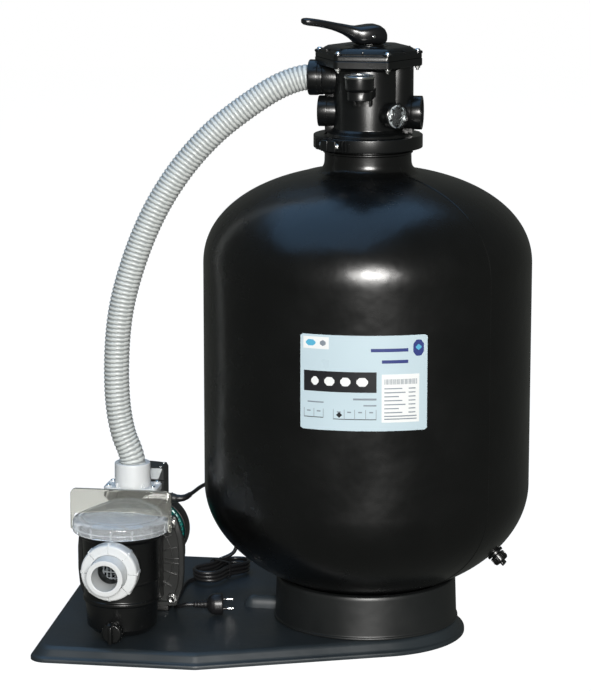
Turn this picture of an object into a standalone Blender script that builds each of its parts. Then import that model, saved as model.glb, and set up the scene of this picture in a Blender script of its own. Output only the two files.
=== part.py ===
"""Pool sand filter set: a tank with a top-mounted six-way valve, a strainer pump and their plinth.

Metres, +Z up. The origin is on the tank's axis at floor level. The pump stands at -X with its
shaft along Y, and its suction union faces -Y.
"""
import math

import bmesh
import bpy
from mathutils import Matrix, Vector

# ---------------------------------------------------------------- driving dimensions
GAP = 0.0003                 # clearance left between pieces that touch

TANK_RADIUS = 0.280
TANK_WALL = 0.005
TANK_SHOULDER = 0.649        # top of the straight wall
TANK_HIP = 0.266             # bottom of the straight wall
DOME_RISE = 0.163
BOWL_DROP = 0.190
DOME_POWER = 2.15            # 2 would be an ellipse, more is squarer
NECK_RADIUS = 0.0735
NECK_BORE = 0.062
NECK_TOP = 0.857

PLINTH_LEFT = 0.545
PLINTH_FRONT = 0.285
PLINTH_BACK = 0.337
PLINTH_LEFT_FLARE = 1.8      # degrees that the left edge leans out towards the back
PLINTH_SHOULDER_X = -0.249   # where the front and back edges turn in towards the round end
PLINTH_NOSE = 0.172
PLINTH_TOP = 0.025

VALVE_BASE = 0.859
VALVE_DECK = 0.9345          # upper face of the ported deck that the rotor turns on
VALVE_SPLIT = 0.9987         # joint between the body and its cover
COVER_TOP = 1.018
PORT_HEIGHT = 0.9065         # return, waste and sight glass
PUMP_PORT_HEIGHT = 0.963
BODY_RADIUS = 0.0585
CHAMBER_BORE = 0.0530
FLANGE_RADIUS = 0.0876       # of the two flanges that the clamp draws together
HEX_RADIUS = 0.0925          # across the corners of the six-sided flanges, before rounding
LEVER_ANGLE = 30.0           # degrees that the lever is turned from the pump port's direction
PIN_HEIGHT = 1.035

PUMP_X = -0.395
POT_Y = -0.182
POT_FLOOR = 0.036
POT_TOP = 0.228
POT_DRAIN_HEIGHT = 0.050
SUCTION_HEIGHT = 0.160
SHAFT_HEIGHT = 0.136
DISCHARGE_X = -0.400
DISCHARGE_Y = -0.0605
MOTOR_RADIUS = 0.058

HOSE_RADIUS = 0.022
HOSE_BORE = 0.0185
CORD_RADIUS = 0.0035

DRAIN_ANGLE = -7.0           # degrees round the tank from +X
DRAIN_LATITUDE = 35.8        # degrees down the bowl's ellipse from its rim

# ---------------------------------------------------------------- finishes
FINISHES = {
    "black_tank": ((0.013, 0.013, 0.014), 0.38, 0.0),
    "black_valve": ((0.016, 0.016, 0.018), 0.42, 0.0),
    "slate_plinth": ((0.045, 0.055, 0.065), 0.55, 0.0),
    "white_fitting": ((0.80, 0.81, 0.82), 0.35, 0.0),
    "grey_hose": ((0.62, 0.63, 0.62), 0.45, 0.0),
    "clear_plastic": ((0.85, 0.88, 0.88), 0.12, 0.0),
    "pump_black": ((0.018, 0.018, 0.020), 0.45, 0.0),
    "teal_paint": ((0.010, 0.170, 0.150), 0.40, 0.0),
    "stainless": ((0.62, 0.62, 0.60), 0.25, 1.0),
    "copper_winding": ((0.55, 0.28, 0.12), 0.40, 1.0),
    "rubber": ((0.020, 0.020, 0.020), 0.70, 0.0),
    "white_plastic": ((0.75, 0.76, 0.76), 0.40, 0.0),
    "dial_white": ((0.90, 0.90, 0.88), 0.50, 0.0),
    "needle_red": ((0.55, 0.03, 0.02), 0.40, 0.0),
    "basket_grey": ((0.45, 0.47, 0.48), 0.45, 0.0),
    "cord_black": ((0.022, 0.022, 0.024), 0.50, 0.0),
}


def clear_scene():
    for old in list(bpy.data.objects):
        bpy.data.objects.remove(old, do_unlink=True)


def paint(obj, finish):
    """Give an object its own Principled material in one of the set's finishes."""
    color, roughness, metallic = FINISHES[finish]
    material = bpy.data.materials.new(obj.name + "_" + finish)
    material.use_nodes = True
    shader = material.node_tree.nodes["Principled BSDF"]
    shader.inputs["Base Color"].default_value = (*color, 1.0)
    shader.inputs["Roughness"].default_value = roughness
    shader.inputs["Metallic"].default_value = metallic
    obj.data.materials.append(material)


def from_bmesh(name, bm, finish=None):
    """Turn a closed bmesh into an object; without a finish it is a cutter or a guide."""
    bmesh.ops.recalc_face_normals(bm, faces=bm.faces)
    mesh = bpy.data.meshes.new(name)
    bm.to_mesh(mesh)
    bm.free()
    mesh.shade_smooth()
    mesh.set_sharp_from_angle(angle=math.radians(35))
    obj = bpy.data.objects.new(name, mesh)
    bpy.context.scene.collection.objects.link(obj)
    if finish:
        paint(obj, finish)
    else:
        obj.hide_render = True
        obj.display_type = "WIRE"
    return obj


def turned(name, profile, finish=None, sides=32, loop=False, sweep=None):
    """Turn (radius, height) points about Z. Points at radius 0 close a solid on its axis.

    loop joins the profile's ends, for a ring. sweep is (first, last) in degrees for a part turn
    of a closed profile, whose two ends are then capped. A full turn starts half a facet round, so
    that bores square to the axes meet the middle of a facet.
    """
    bm = bmesh.new()
    full = sweep is None
    first, last = sweep or (0.0, 360.0)
    count = sides if full else sides + 1
    offset = 0.5 if full else 0.0
    angles = [math.radians(first + (last - first) * (i + offset) / sides) for i in range(count)]
    rings = []
    for radius, height in profile:
        if radius < 1e-6:
            rings.append([bm.verts.new((0.0, 0.0, height))])
        else:
            rings.append([bm.verts.new((radius * math.cos(a), radius * math.sin(a), height))
                          for a in angles])
    pairs = list(zip(rings, rings[1:]))
    if loop:
        pairs.append((rings[-1], rings[0]))
    for low, high in pairs:
        for i in range(sides):
            j = (i + 1) % count
            corners = [low[i % len(low)], low[j % len(low)], high[j % len(high)], high[i % len(high)]]
            corners = list(dict.fromkeys(corners))
            if len(corners) > 2:
                bm.faces.new(corners)
    if not full:
        bm.faces.new([ring[0] for ring in rings])
        bm.faces.new([ring[-1] for ring in rings])
    return from_bmesh(name, bm, finish)


def stacked(name, outlines, finish=None):
    """Skin a stack of outlines, each a list of (x, y, z), and cap the first and the last."""
    bm = bmesh.new()
    rings = [[bm.verts.new(point) for point in outline] for outline in outlines]
    for low, high in zip(rings, rings[1:]):
        for i in range(len(low)):
            j = (i + 1) % len(low)
            bm.faces.new((low[i], low[j], high[j], high[i]))
    bm.faces.new(rings[0])
    bm.faces.new(rings[-1])
    return from_bmesh(name, bm, finish)


def block(name, low, high, finish=None, bevel=0.0):
    """A box between two corners, its edges rounded when bevel is given."""
    bm = bmesh.new()
    bmesh.ops.create_cube(bm, size=1.0)
    size = Vector(high) - Vector(low)
    middle = (Vector(high) + Vector(low)) / 2
    bmesh.ops.scale(bm, vec=size, verts=bm.verts)
    bmesh.ops.translate(bm, vec=middle, verts=bm.verts)
    if bevel:
        bmesh.ops.bevel(bm, geom=bm.edges[:], offset=bevel, segments=2, affect="EDGES", profile=0.5)
    return from_bmesh(name, bm, finish)


def rod(name, start, end, radius, finish=None, sides=20):
    """A plain round bar from one point to another."""
    start, end = Vector(start), Vector(end)
    length = (end - start).length
    obj = turned(name, [(0, 0), (radius, 0), (radius, length), (0, length)], finish, sides)
    return aim(obj, start, end - start)


def aim(obj, place, direction):
    """Put an object's origin at place, with its Z axis along direction."""
    turn = Vector(direction).to_track_quat("Z", "Y").to_matrix().to_4x4()
    obj.matrix_world = Matrix.Translation(Vector(place)) @ turn
    return obj


def boolean(obj, other, operation):
    step = obj.modifiers.new(other.name, "BOOLEAN")
    step.operation = operation
    step.solver = "EXACT"
    step.object = other
    other.hide_render = True
    other.display_type = "WIRE"


def cut(obj, *cutters):
    for cutter in cutters:
        boolean(obj, cutter, "DIFFERENCE")


def fuse(obj, *others):
    for other in others:
        boolean(obj, other, "UNION")


def polar(radius, degrees, height=0.0):
    angle = math.radians(degrees)
    return Vector((radius * math.cos(angle), radius * math.sin(angle), height))


def rounded(corners, radius, steps):
    """Replace each corner of a convex outline by an arc of the given radius."""
    points = []
    count = len(corners)
    for i, corner in enumerate(corners):
        corner = Vector(corner)
        back = (Vector(corners[i - 1]) - corner).normalized()
        ahead = (Vector(corners[(i + 1) % count]) - corner).normalized()
        half_angle = back.angle(ahead) / 2
        reach = radius / math.tan(half_angle)
        centre = corner + (back + ahead).normalized() * (radius / math.sin(half_angle))
        start = corner + back * reach - centre
        end = corner + ahead * reach - centre
        for step in range(steps + 1):
            points.append(centre + start.slerp(end, step / steps).normalized() * radius)
    return points


CURVE_STEPS = 24             # samples on each span of a route before they are evened out


def smooth_route(points, spacing):
    """Points at an even spacing along a Catmull-Rom curve through the route's own points."""
    points = [Vector(p) for p in points]
    before = points[0] * 2 - points[1]
    after = points[-1] * 2 - points[-2]
    chain = [before] + points + [after]
    fine = []
    for a, b, c, d in zip(chain, chain[1:], chain[2:], chain[3:]):
        for step in range(CURVE_STEPS):
            t = step / CURVE_STEPS
            fine.append(0.5 * (2 * b + (c - a) * t + (2 * a - 5 * b + 4 * c - d) * t * t
                               + (3 * b - a - 3 * c + d) * t * t * t))
    fine.append(points[-1])
    total = sum((q - p).length for p, q in zip(fine, fine[1:]))
    count = max(2, round(total / spacing))
    even = [fine[0]]
    walked = 0.0
    for p, q in zip(fine, fine[1:]):
        length = (q - p).length
        while len(even) < count and walked + length >= total * len(even) / count:
            even.append(p.lerp(q, (total * len(even) / count - walked) / length))
        walked += length
    even.append(fine[-1])
    return even


def hollow_hose(name, route, outside, inside, finish, sides=10):
    """A hose of even wall along a route: outer skin, inner skin and two end rings."""
    bm = bmesh.new()
    side = Vector((0.0, 1.0, 0.0))
    outer, inner = [], []
    for i, point in enumerate(route):
        ahead = route[min(i + 1, len(route) - 1)]
        behind = route[max(i - 1, 0)]
        along = (ahead - behind).normalized()
        side = (side - along * side.dot(along)).normalized()
        up = along.cross(side)
        spokes = [side * math.cos(2 * math.pi * k / sides) + up * math.sin(2 * math.pi * k / sides)
                  for k in range(sides)]
        outer.append([bm.verts.new(point + spoke * outside) for spoke in spokes])
        inner.append([bm.verts.new(point + spoke * inside) for spoke in spokes])
    rings = outer + inner[::-1]
    for low, high in zip(rings, rings[1:] + rings[:1]):
        for k in range(sides):
            j = (k + 1) % sides
            bm.faces.new((low[k], low[j], high[j], high[k]))
    return from_bmesh(name, bm, finish)


def cord_tube(name, route, radius, finish):
    """A free stretch of cord: a poly curve with a round bevel and filled ends."""
    curve = bpy.data.curves.new(name, "CURVE")
    curve.dimensions = "3D"
    curve.bevel_depth = radius
    curve.bevel_resolution = 2
    curve.render_resolution_u = 0
    curve.use_fill_caps = True
    spline = curve.splines.new("POLY")
    spline.points.add(len(route) - 1)
    for slot, point in zip(spline.points, route):
        slot.co = (*point, 1.0)
    obj = bpy.data.objects.new(name, curve)
    bpy.context.scene.collection.objects.link(obj)
    paint(obj, finish)
    return obj


def coil_spring(name, mean_radius, wire, low, high, turns, finish, steps=12):
    """A round-wire spring about Z, from low to high."""
    rise = high - low - 2 * wire
    count = int(turns * steps)
    route = [polar(mean_radius, 360.0 * i / steps, low + wire + rise * i / count)
             for i in range(count + 1)]
    curve = cord_tube(name, route, wire, finish)
    curve.data.bevel_resolution = 0
    return curve


# ---------------------------------------------------------------- plinth
def plinth_outline(inset, height):
    """The plinth's outline moved inwards: a round end, two slanted edges and a square left part."""
    nose = PLINTH_NOSE - inset
    front_turn = Vector((PLINTH_SHOULDER_X, -PLINTH_FRONT))
    back_turn = Vector((PLINTH_SHOULDER_X, PLINTH_BACK))
    slant_front = (math.atan2(front_turn.y, front_turn.x) + math.acos(PLINTH_NOSE / front_turn.length))
    slant_back = (math.atan2(back_turn.y, back_turn.x) - math.acos(PLINTH_NOSE / back_turn.length))
    left = math.radians(180 + PLINTH_LEFT_FLARE)
    edges = {
        "left": (left, PLINTH_LEFT - inset),
        "front": (math.radians(-90), PLINTH_FRONT - inset),
        "slant_front": (slant_front, nose),
        "slant_back": (slant_back, nose),
        "back": (math.radians(90), PLINTH_BACK - inset),
    }

    def meet(first, second):
        angle_a, far_a = edges[first]
        angle_b, far_b = edges[second]
        spread = math.sin(angle_b - angle_a)
        x = (far_a * math.sin(angle_b) - far_b * math.sin(angle_a)) / spread
        y = (far_b * math.cos(angle_a) - far_a * math.cos(angle_b)) / spread
        return (x, y)

    arc_steps = 22
    arc = [(nose * math.cos(slant_front + (slant_back - slant_front) * i / arc_steps),
            nose * math.sin(slant_front + (slant_back - slant_front) * i / arc_steps))
           for i in range(arc_steps + 1)]
    square = [meet("slant_back", "back"), meet("back", "left"),
              meet("left", "front"), meet("front", "slant_front")]
    guides = [arc[-1]] + square + [arc[0]]
    corners = rounded(guides, 0.030, 4)[5:-5]
    return [(x, y, height) for x, y in arc] + [(p.x, p.y, height) for p in corners]


def make_plinth():
    """Moulded base plate: a lip, a sloping side, a raised cord rib and ribs underneath."""
    levels = [(0.0, 0.0), (0.0, 0.006), (0.0045, 0.0075), (0.0125, 0.021), (0.018, PLINTH_TOP)]
    plate = stacked("base_plate", [plinth_outline(inset, height) for inset, height in levels],
                    "slate_plinth")
    rib = block("cord_rib_guide", (-0.219, 0.006, 0.015), (-0.163, 0.034, 0.047), bevel=0.011)
    fuse(plate, rib)
    cell, web, roof = 0.100, 0.010, 0.018
    pockets = bmesh.new()
    for column in range(-5, 2):
        for row in range(-3, 4):
            middle = Vector((column * cell, row * cell, roof / 2 - 0.001))
            reach = (cell - web) / 2
            corners = [Vector((middle.x + sx * reach, middle.y + sy * reach, 0))
                       for sx in (-1, 1) for sy in (-1, 1)]
            under_tank_axis = column == 0 and row == 0
            if under_tank_axis or not all(inside_plinth(c, 0.012) for c in corners):
                continue
            made = bmesh.ops.create_cube(pockets, size=1.0)["verts"]
            bmesh.ops.scale(pockets, vec=(cell - web, cell - web, roof + 0.002), verts=made)
            bmesh.ops.translate(pockets, vec=middle, verts=made)
    cut(plate, from_bmesh("underside_pockets_guide", pockets))


def inside_plinth(point, margin):
    """True when a point is inside the plinth's edges by at least margin."""
    outline = plinth_outline(margin, 0.0)
    for (x1, y1, _), (x2, y2, _) in zip(outline, outline[1:] + outline[:1]):
        if (x2 - x1) * (point.y - y1) - (y2 - y1) * (point.x - x1) < 0:
            return False
    return True


# ---------------------------------------------------------------- tank
def dome(radius, thickness, steps):
    """Points of the tank's top, from its shoulder in to a radius."""
    wide = TANK_RADIUS - thickness
    tall = DOME_RISE - thickness
    stop = math.acos((radius / wide) ** (DOME_POWER / 2))
    points = []
    for i in range(1, steps + 1):
        angle = stop * i / steps
        points.append((wide * math.cos(angle) ** (2 / DOME_POWER),
                       TANK_SHOULDER + tall * math.sin(angle) ** (2 / DOME_POWER)))
    return points


def bowl(thickness, steps):
    """Points of the tank's bottom, from its lowest point out to the straight wall."""
    wide = TANK_RADIUS - thickness
    deep = BOWL_DROP - thickness
    return [(wide * math.sin(math.pi / 2 * i / steps), TANK_HIP - deep * math.cos(math.pi / 2 * i / steps))
            for i in range(steps + 1)]


def make_tank():
    """Moulded pressure tank with a flanged neck and a hole for its drain."""
    outer = bowl(0.0, 7) + [(TANK_RADIUS, TANK_SHOULDER)] + dome(NECK_RADIUS + 0.004, 0.0, 6)
    neck = [(NECK_RADIUS, 0.818), (NECK_RADIUS, 0.8375), (0.0762, 0.8390), (0.0762, 0.8418),
            (NECK_RADIUS, 0.8433), (NECK_RADIUS, 0.8505), (FLANGE_RADIUS, 0.8512), (FLANGE_RADIUS, NECK_TOP),
            (NECK_BORE, NECK_TOP), (NECK_BORE, 0.812)]
    inner = (dome(NECK_BORE + 0.006, TANK_WALL, 4)[::-1]
             + [(TANK_RADIUS - TANK_WALL, TANK_SHOULDER)] + bowl(TANK_WALL, 5)[::-1])
    shell = turned("tank_shell", outer + neck + inner, "black_tank", sides=32)
    place, outwards = drain_place()
    cut(shell, rod("drain_hole_guide", place - outwards * 0.02, place + outwards * 0.02, 0.0102))


def make_tank_foot():
    """Conical ring that carries the tank's bowl and stands on the plinth."""
    bottom = PLINTH_TOP + GAP
    profile = [(0.1600, bottom), (0.1600, bottom + 0.004), (0.1585, bottom + 0.005), (0.1555, 0.0965),
               (0.1535, 0.1000), (0.1400, 0.1003), (0.1385, 0.0960), (0.1430, bottom)]
    turned("tank_foot", profile, "black_tank", sides=32, loop=True)


def drain_place():
    """Point on the tank's bowl where the drain leaves, and the outward direction there."""
    angle = math.radians(DRAIN_LATITUDE)
    radius = TANK_RADIUS * math.cos(angle)
    height = TANK_HIP - BOWL_DROP * math.sin(angle)
    slope = Vector((radius / TANK_RADIUS ** 2, 0.0, (height - TANK_HIP) / BOWL_DROP ** 2)).normalized()
    outwards = Matrix.Rotation(math.radians(DRAIN_ANGLE), 3, "Z") @ slope
    return polar(radius, DRAIN_ANGLE, height), outwards


def make_tank_drain():
    """Drain spigot trapped in the bowl's wall, its sealing ring and its screw cap."""
    place, outwards = drain_place()
    spigot = [(0.0055, -0.013), (0.0140, -0.013), (0.0140, -0.0085), (0.0098, -0.0085),
              (0.0098, 0.0006), (0.0150, 0.0006), (0.0150, 0.0050), (0.0088, 0.0055),
              (0.0088, 0.0165), (0.0055, 0.0165)]
    aim(turned("tank_drain_spigot", spigot, "black_valve", 16, loop=True), place, outwards)
    seal = [(0.0062, 0.0168), (0.0086, 0.0168), (0.0086, 0.0180), (0.0062, 0.0180)]
    aim(turned("tank_drain_seal", seal, "rubber", 16, loop=True), place, outwards)
    cap = [(0, 0.0183), (0.0091, 0.0183), (0.0091, 0.0066), (0.0128, 0.0066), (0.0132, 0.0190),
           (0.0115, 0.0215), (0, 0.0215)]
    cap = aim(turned("tank_drain_cap", cap, "black_valve", 16), place, outwards)
    wing = block("cap_wing_guide", (-0.0105, -0.0022, 0.0205), (0.0105, 0.0022, 0.0280))
    fuse(cap, aim(wing, place, outwards))


def make_underdrain():
    """Centre pipe, hub and six slotted laterals that collect the filtered water."""
    tube = [(0.0215, 0.1535), (0.0250, 0.1535), (0.0250, 0.918), (0.0215, 0.918)]
    turned("standpipe", tube, "white_plastic", 16, loop=True)
    hub = [(0, 0.0825), (0.014, 0.0825), (0.016, 0.112), (0.036, 0.120), (0.036, 0.176),
           (0.0255, 0.176), (0.0255, 0.153), (0.021, 0.153), (0.021, 0.122), (0, 0.122)]
    hub = turned("lateral_hub", hub, "white_plastic", 18)
    length = 0.152
    lateral = [(0.0062, 0), (0.0088, 0), (0.0088, length), (0, length), (0, length - 0.003),
               (0.0062, length - 0.003)]
    for number in range(6):
        direction = polar(1.0, 60 * number)
        socket = rod(f"lateral_socket_guide_{number + 1}", direction * 0.015 + Vector((0, 0, 0.137)),
                     direction * 0.045 + Vector((0, 0, 0.137)), 0.0098, sides=8)
        cut(hub, socket)
        pipe = turned(f"lateral_{number + 1}", lateral, "white_plastic", 10, loop=True)
        aim(pipe, direction * 0.024 + Vector((0, 0, 0.137)), direction)


# ---------------------------------------------------------------- clamp and seal
CLAMP_ANGLE = 237.0          # degrees round from +X to the joint between the halves at the front
CLAMP_BOLT_RADIUS = 0.0975   # from the tank's axis to each bolt
CLAMP_BOLT_HEIGHT = 0.8582


def make_clamp():
    """Channel-section clamp in two halves, drawn together by a bolt at each side."""
    section = [(0.0925, 0.8475), (0.0925, 0.8690), (0.0742, 0.8690), (0.0742, 0.8672),
               (0.0884, 0.8668), (0.0884, 0.8502), (0.0742, 0.8502), (0.0742, 0.8475)]
    turned("neck_seal", [(0.0640, 0.8573), (0.0790, 0.8573), (0.0790, 0.8587), (0.0640, 0.8587)],
           "rubber", 32, loop=True)
    ends = {"left": CLAMP_ANGLE, "right": CLAMP_ANGLE - 180}
    for side, first in (("front", CLAMP_ANGLE + 1), ("rear", CLAMP_ANGLE - 179)):
        half = turned(f"clamp_half_{side}", section, "black_valve", 16, loop=True,
                      sweep=(first, first + 178.0))
        for end, angle in ends.items():
            toward = 1 if (side == "front") == (end == "left") else -1
            low, high = sorted((toward * 0.0012, toward * 0.0165))
            ear = block(f"clamp_ear_guide_{side}_{end}", (0.0900, low, 0.8490), (0.1040, high, 0.8675))
            ear.rotation_euler = (0, 0, math.radians(angle))
            fuse(half, ear)
            middle = polar(CLAMP_BOLT_RADIUS, angle, CLAMP_BOLT_HEIGHT)
            along = polar(0.03, angle + 90)
            cut(half, rod(f"clamp_hole_guide_{side}_{end}", middle - along, middle + along, 0.0031,
                          sides=12))
    bolt = [(0, -0.0212), (0.0052, -0.0212), (0.0052, -0.0168), (0.0028, -0.0168),
            (0.0028, 0.0168), (0.0052, 0.0168), (0.0052, 0.0205), (0, 0.0205)]
    for end, angle in ends.items():
        aim(turned(f"clamp_bolt_{end}", bolt, "stainless", 12),
            polar(CLAMP_BOLT_RADIUS, angle, CLAMP_BOLT_HEIGHT), polar(1.0, angle + 90))


# ---------------------------------------------------------------- six-way valve
def hexagon(circumradius, height, corner=0.010, steps=3):
    """Six-sided flange outline with rounded corners at the screw lugs."""
    corners = [polar(circumradius, 60 * i) for i in range(6)]
    return [(p.x, p.y, height) for p in rounded(corners, corner, steps)]


def make_valve_body():
    """Round body with an upper chamber, a ported deck, a pipe socket and three ports."""
    body = turned("valve_body", [
        (FLANGE_RADIUS, VALVE_BASE), (FLANGE_RADIUS, 0.8661), (0.0705, 0.8668), (0.0685, 0.8720),
        (0.0610, 0.8760), (BODY_RADIUS, 0.8790), (BODY_RADIUS, 0.9900), (CHAMBER_BORE, 0.9900),
        (CHAMBER_BORE, VALVE_DECK), (0.0200, VALVE_DECK), (0.0200, 0.9250), (0.0256, 0.9250),
        (0.0256, 0.8620), (0.0300, 0.8620), (0.0300, 0.9295), (CHAMBER_BORE, 0.9295),
        (CHAMBER_BORE, 0.8760), (0.0600, 0.8700), (0.0625, VALVE_BASE)],
        "black_valve", 24, loop=True)
    flange = stacked("body_flange_guide", [hexagon(HEX_RADIUS, 0.9865), hexagon(HEX_RADIUS, VALVE_SPLIT)])
    chamber = rod("upper_chamber_guide", (0, 0, 0.880), (0, 0, 1.005), CHAMBER_BORE, sides=24)
    cut(flange, chamber)
    bulge = rod("waste_passage_guide", (0.0465, 0, 0.900), (0.0465, 0, 0.990), 0.0300, sides=20)
    cut(bulge, chamber)
    cut(flange, rod("collar_room_guide", (-0.0755, 0, PUMP_PORT_HEIGHT), (-0.12, 0, PUMP_PORT_HEIGHT),
                    0.0308, sides=24))
    fuse(body, flange, bulge)
    for number, angle in enumerate((30, 150, 210, 330)):
        web = block(f"chamber_web_guide_{number}", (0.0285, -0.002, 0.880), (0.0550, 0.002, 0.9310))
        web.rotation_euler = (0, 0, math.radians(angle))
        fuse(body, web)
    ports = [("pump", 180, PUMP_PORT_HEIGHT, 0.0290, 0.0250, 0.0755),
             ("return", 180, PORT_HEIGHT, 0.0262, 0.0205, 0.0840),
             ("waste", 0, PORT_HEIGHT, 0.0285, 0.0205, 0.0915),
             ("glass", -45, PORT_HEIGHT, 0.0215, 0.0150, 0.0745),
             ]
    for name, angle, height, outside, inside, reach in ports:
        lift = Vector((0, 0, height))
        pipe = rod(f"{name}_port_guide", polar(0.0550, angle) + lift, polar(reach, angle) + lift,
                   outside, sides=18)
        fuse(body, pipe)
    boss = block("gauge_boss_guide", (-0.020, -0.1250, 0.9380), (0.020, -0.0540, 0.9533))
    fuse(body, boss)
    for name, angle, height, outside, inside, reach in ports:
        lift = Vector((0, 0, height))
        bore = rod(f"{name}_bore_guide", polar(0.0500, angle) + lift,
                   polar(reach + 0.01, angle) + lift, inside, sides=16)
        cut(body, bore)
    cut(body, rod("gauge_thread_guide", (0, -0.1110, 0.9420), (0, -0.1110, 0.9600), 0.0050, sides=12))
    for number in range(6):
        centre = polar(0.0375, 60 * number)
        cut(body, rod(f"deck_port_guide_{number}", centre + Vector((0, 0, 0.920)),
                      centre + Vector((0, 0, 0.940)), 0.0085, sides=8))


def make_valve_inside():
    """Spider gasket, rotor with its stem, and the spring that keeps the rotor seated."""
    gasket = turned("spider_gasket", [(0.0210, VALVE_DECK + GAP), (0.0524, VALVE_DECK + GAP),
                                      (0.0524, 0.9370), (0.0210, 0.9370)], "rubber", 24, loop=True)
    for number in range(6):
        centre = polar(0.0375, 60 * number)
        cut(gasket, rod(f"gasket_port_guide_{number}", centre + Vector((0, 0, 0.930)),
                        centre + Vector((0, 0, 0.940)), 0.0080, sides=8))
    rotor = turned("valve_rotor", [(0, 0.9373), (0.0518, 0.9373), (0.0518, 0.9440), (0.0300, 0.9460),
                                   (0.0150, 0.9480), (0.0135, 0.9600), (0.0072, 0.9640),
                                   (0.0072, 1.0410), (0, 1.0410)], "white_plastic", 24)
    window = rod("rotor_window_guide", polar(0.0375, 180 + LEVER_ANGLE, 0.930),
                 polar(0.0375, 180 + LEVER_ANGLE, 0.955), 0.0090, sides=12)
    sideways = pin_direction()
    hole = rod("stem_hole_guide", sideways * -0.02 + Vector((0, 0, PIN_HEIGHT)),
               sideways * 0.02 + Vector((0, 0, PIN_HEIGHT)), 0.0033, sides=12)
    cut(rotor, window, hole)
    coil_spring("rotor_spring", 0.0200, 0.0018, 0.9485, 1.0080, 4, "stainless")


def make_valve_cover():
    """Six-lugged cover with a raised round top and a bore for the rotor's stem."""
    flange = stacked("valve_cover", [hexagon(HEX_RADIUS, VALVE_SPLIT + GAP), hexagon(HEX_RADIUS, 1.0100),
                                     hexagon(HEX_RADIUS - 0.005, 1.0125, corner=0.016)], "black_valve")
    top = turned("cover_top_guide", [(0, 1.0020), (0.0760, 1.0020), (0.0760, 1.0120),
                                     (0.0700, COVER_TOP), (0, COVER_TOP)], sides=32)
    hollow = turned("cover_hollow_guide", [(0, 0.990), (0.0520, 0.990), (0.0520, 1.0050),
                                           (0.0450, 1.0090), (0, 1.0090)], sides=24)
    fuse(flange, top)
    cut(flange, hollow, rod("stem_bore_guide", (0, 0, 1.0), (0, 0, 1.03), 0.0078, sides=20))


def pin_direction():
    """The lever's pin lies level and square to the lever."""
    return polar(1.0, LEVER_ANGLE - 90)


def make_lever():
    """Cam lever: a forked hub over the stem and an arm that rises to a thumb end."""
    stations = [  # x towards the back of the hub, underside, top, half width
        (0.0265, 1.0260, 1.0400, 0.0190),
        (0.0225, 1.0206, 1.0490, 0.0235),
        (0.0100, 1.0206, 1.0545, 0.0260),
        (-0.0060, 1.0206, 1.0535, 0.0260),
        (-0.0220, 1.0206, 1.0520, 0.0220),
        (-0.0300, 1.0270, 1.0530, 0.0170),
        (-0.0450, 1.0375, 1.0560, 0.0140),
        (-0.0650, 1.0460, 1.0600, 0.0125),
        (-0.0900, 1.0520, 1.0650, 0.0125),
        (-0.1120, 1.0550, 1.0680, 0.0120),
        (-0.1190, 1.0590, 1.0660, 0.0090),
    ]
    softening = 0.30
    outlines = []
    for x, low, high, half in stations:
        rise = (high - low) * softening
        side = half * (1 - softening)
        outlines.append([(x, -side, low - PIN_HEIGHT), (x, -half, low + rise - PIN_HEIGHT),
                         (x, -half, high - rise - PIN_HEIGHT), (x, -side, high - PIN_HEIGHT),
                         (x, side, high - PIN_HEIGHT), (x, half, high - rise - PIN_HEIGHT),
                         (x, half, low + rise - PIN_HEIGHT), (x, side, low - PIN_HEIGHT)])
    lever = stacked("handle_lever", outlines, "black_valve")
    turn = Matrix.Translation((0, 0, PIN_HEIGHT)) @ Matrix.Rotation(math.radians(LEVER_ANGLE), 4, "Z")
    lever.matrix_world = turn
    slot = block("stem_slot_guide", (-0.0135, -0.0080, -0.030), (0.0135, 0.0080, 0.0125))
    slot.matrix_world = turn
    sideways = pin_direction()
    centre = Vector((0, 0, PIN_HEIGHT))
    hole = rod("pin_hole_guide", centre - sideways * 0.04, centre + sideways * 0.04, 0.0033, sides=12)
    cut(lever, slot, hole)
    pin = turned("handle_pin", [(0, -0.0262), (0.0030, -0.0262), (0.0030, 0.0262), (0, 0.0262)],
                 "stainless", 12)
    aim(pin, centre, sideways)
    washer = [(0.0100, COVER_TOP + GAP), (0.0262, COVER_TOP + GAP), (0.0262, 1.0202), (0.0100, 1.0202)]
    turned("slip_washer", washer, "white_plastic", 24, loop=True)


def make_gauge():
    """Pressure gauge: case with its thread, dial, needle and lens, facing up."""
    place = Vector((0, -0.1110, 0))
    case = [(0, 0.9445), (0.0045, 0.9445), (0.0045, 0.9545), (0.0200, 0.9545), (0.0242, 0.9575),
            (0.0242, 0.9770), (0.0252, 0.9775), (0.0252, 0.9800), (0.0232, 0.9800), (0.0232, 0.9740),
            (0.0222, 0.9740), (0.0222, 0.9580), (0, 0.9580)]
    turned("gauge_case", case, "black_valve", 20).location = place
    dial = [(0, 0.9743), (0.0228, 0.9743), (0.0228, 0.9751), (0, 0.9751)]
    turned("gauge_dial", dial, "dial_white", 20).location = place
    lens = [(0, 0.9778), (0.0228, 0.9778), (0.0228, 0.9792), (0, 0.9792)]
    turned("gauge_lens", lens, "clear_plastic", 20).location = place
    needle = turned("gauge_needle", [(0, 0.9754), (0.0025, 0.9754), (0.0025, 0.9770), (0, 0.9770)],
                    "needle_red", 12)
    pointer = block("pointer_guide", (-0.017, -0.0006, 0.9757), (0.006, 0.0006, 0.9765))
    pointer.location = place
    pointer.rotation_euler = (0, 0, math.radians(45))
    needle.location = place
    fuse(needle, pointer)


def make_sight_glass():
    """Clear dome screwed into the boss beside the waste port."""
    profile = [(0, 0.0620), (0.0146, 0.0620), (0.0146, 0.0748), (0.0193, 0.0748), (0.0193, 0.0800),
               (0.0165, 0.0845), (0.0100, 0.0880), (0, 0.0890)]
    glass = turned("sight_glass", profile, "clear_plastic", 20)
    aim(glass, (0, 0, PORT_HEIGHT), polar(1.0, -45))


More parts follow.
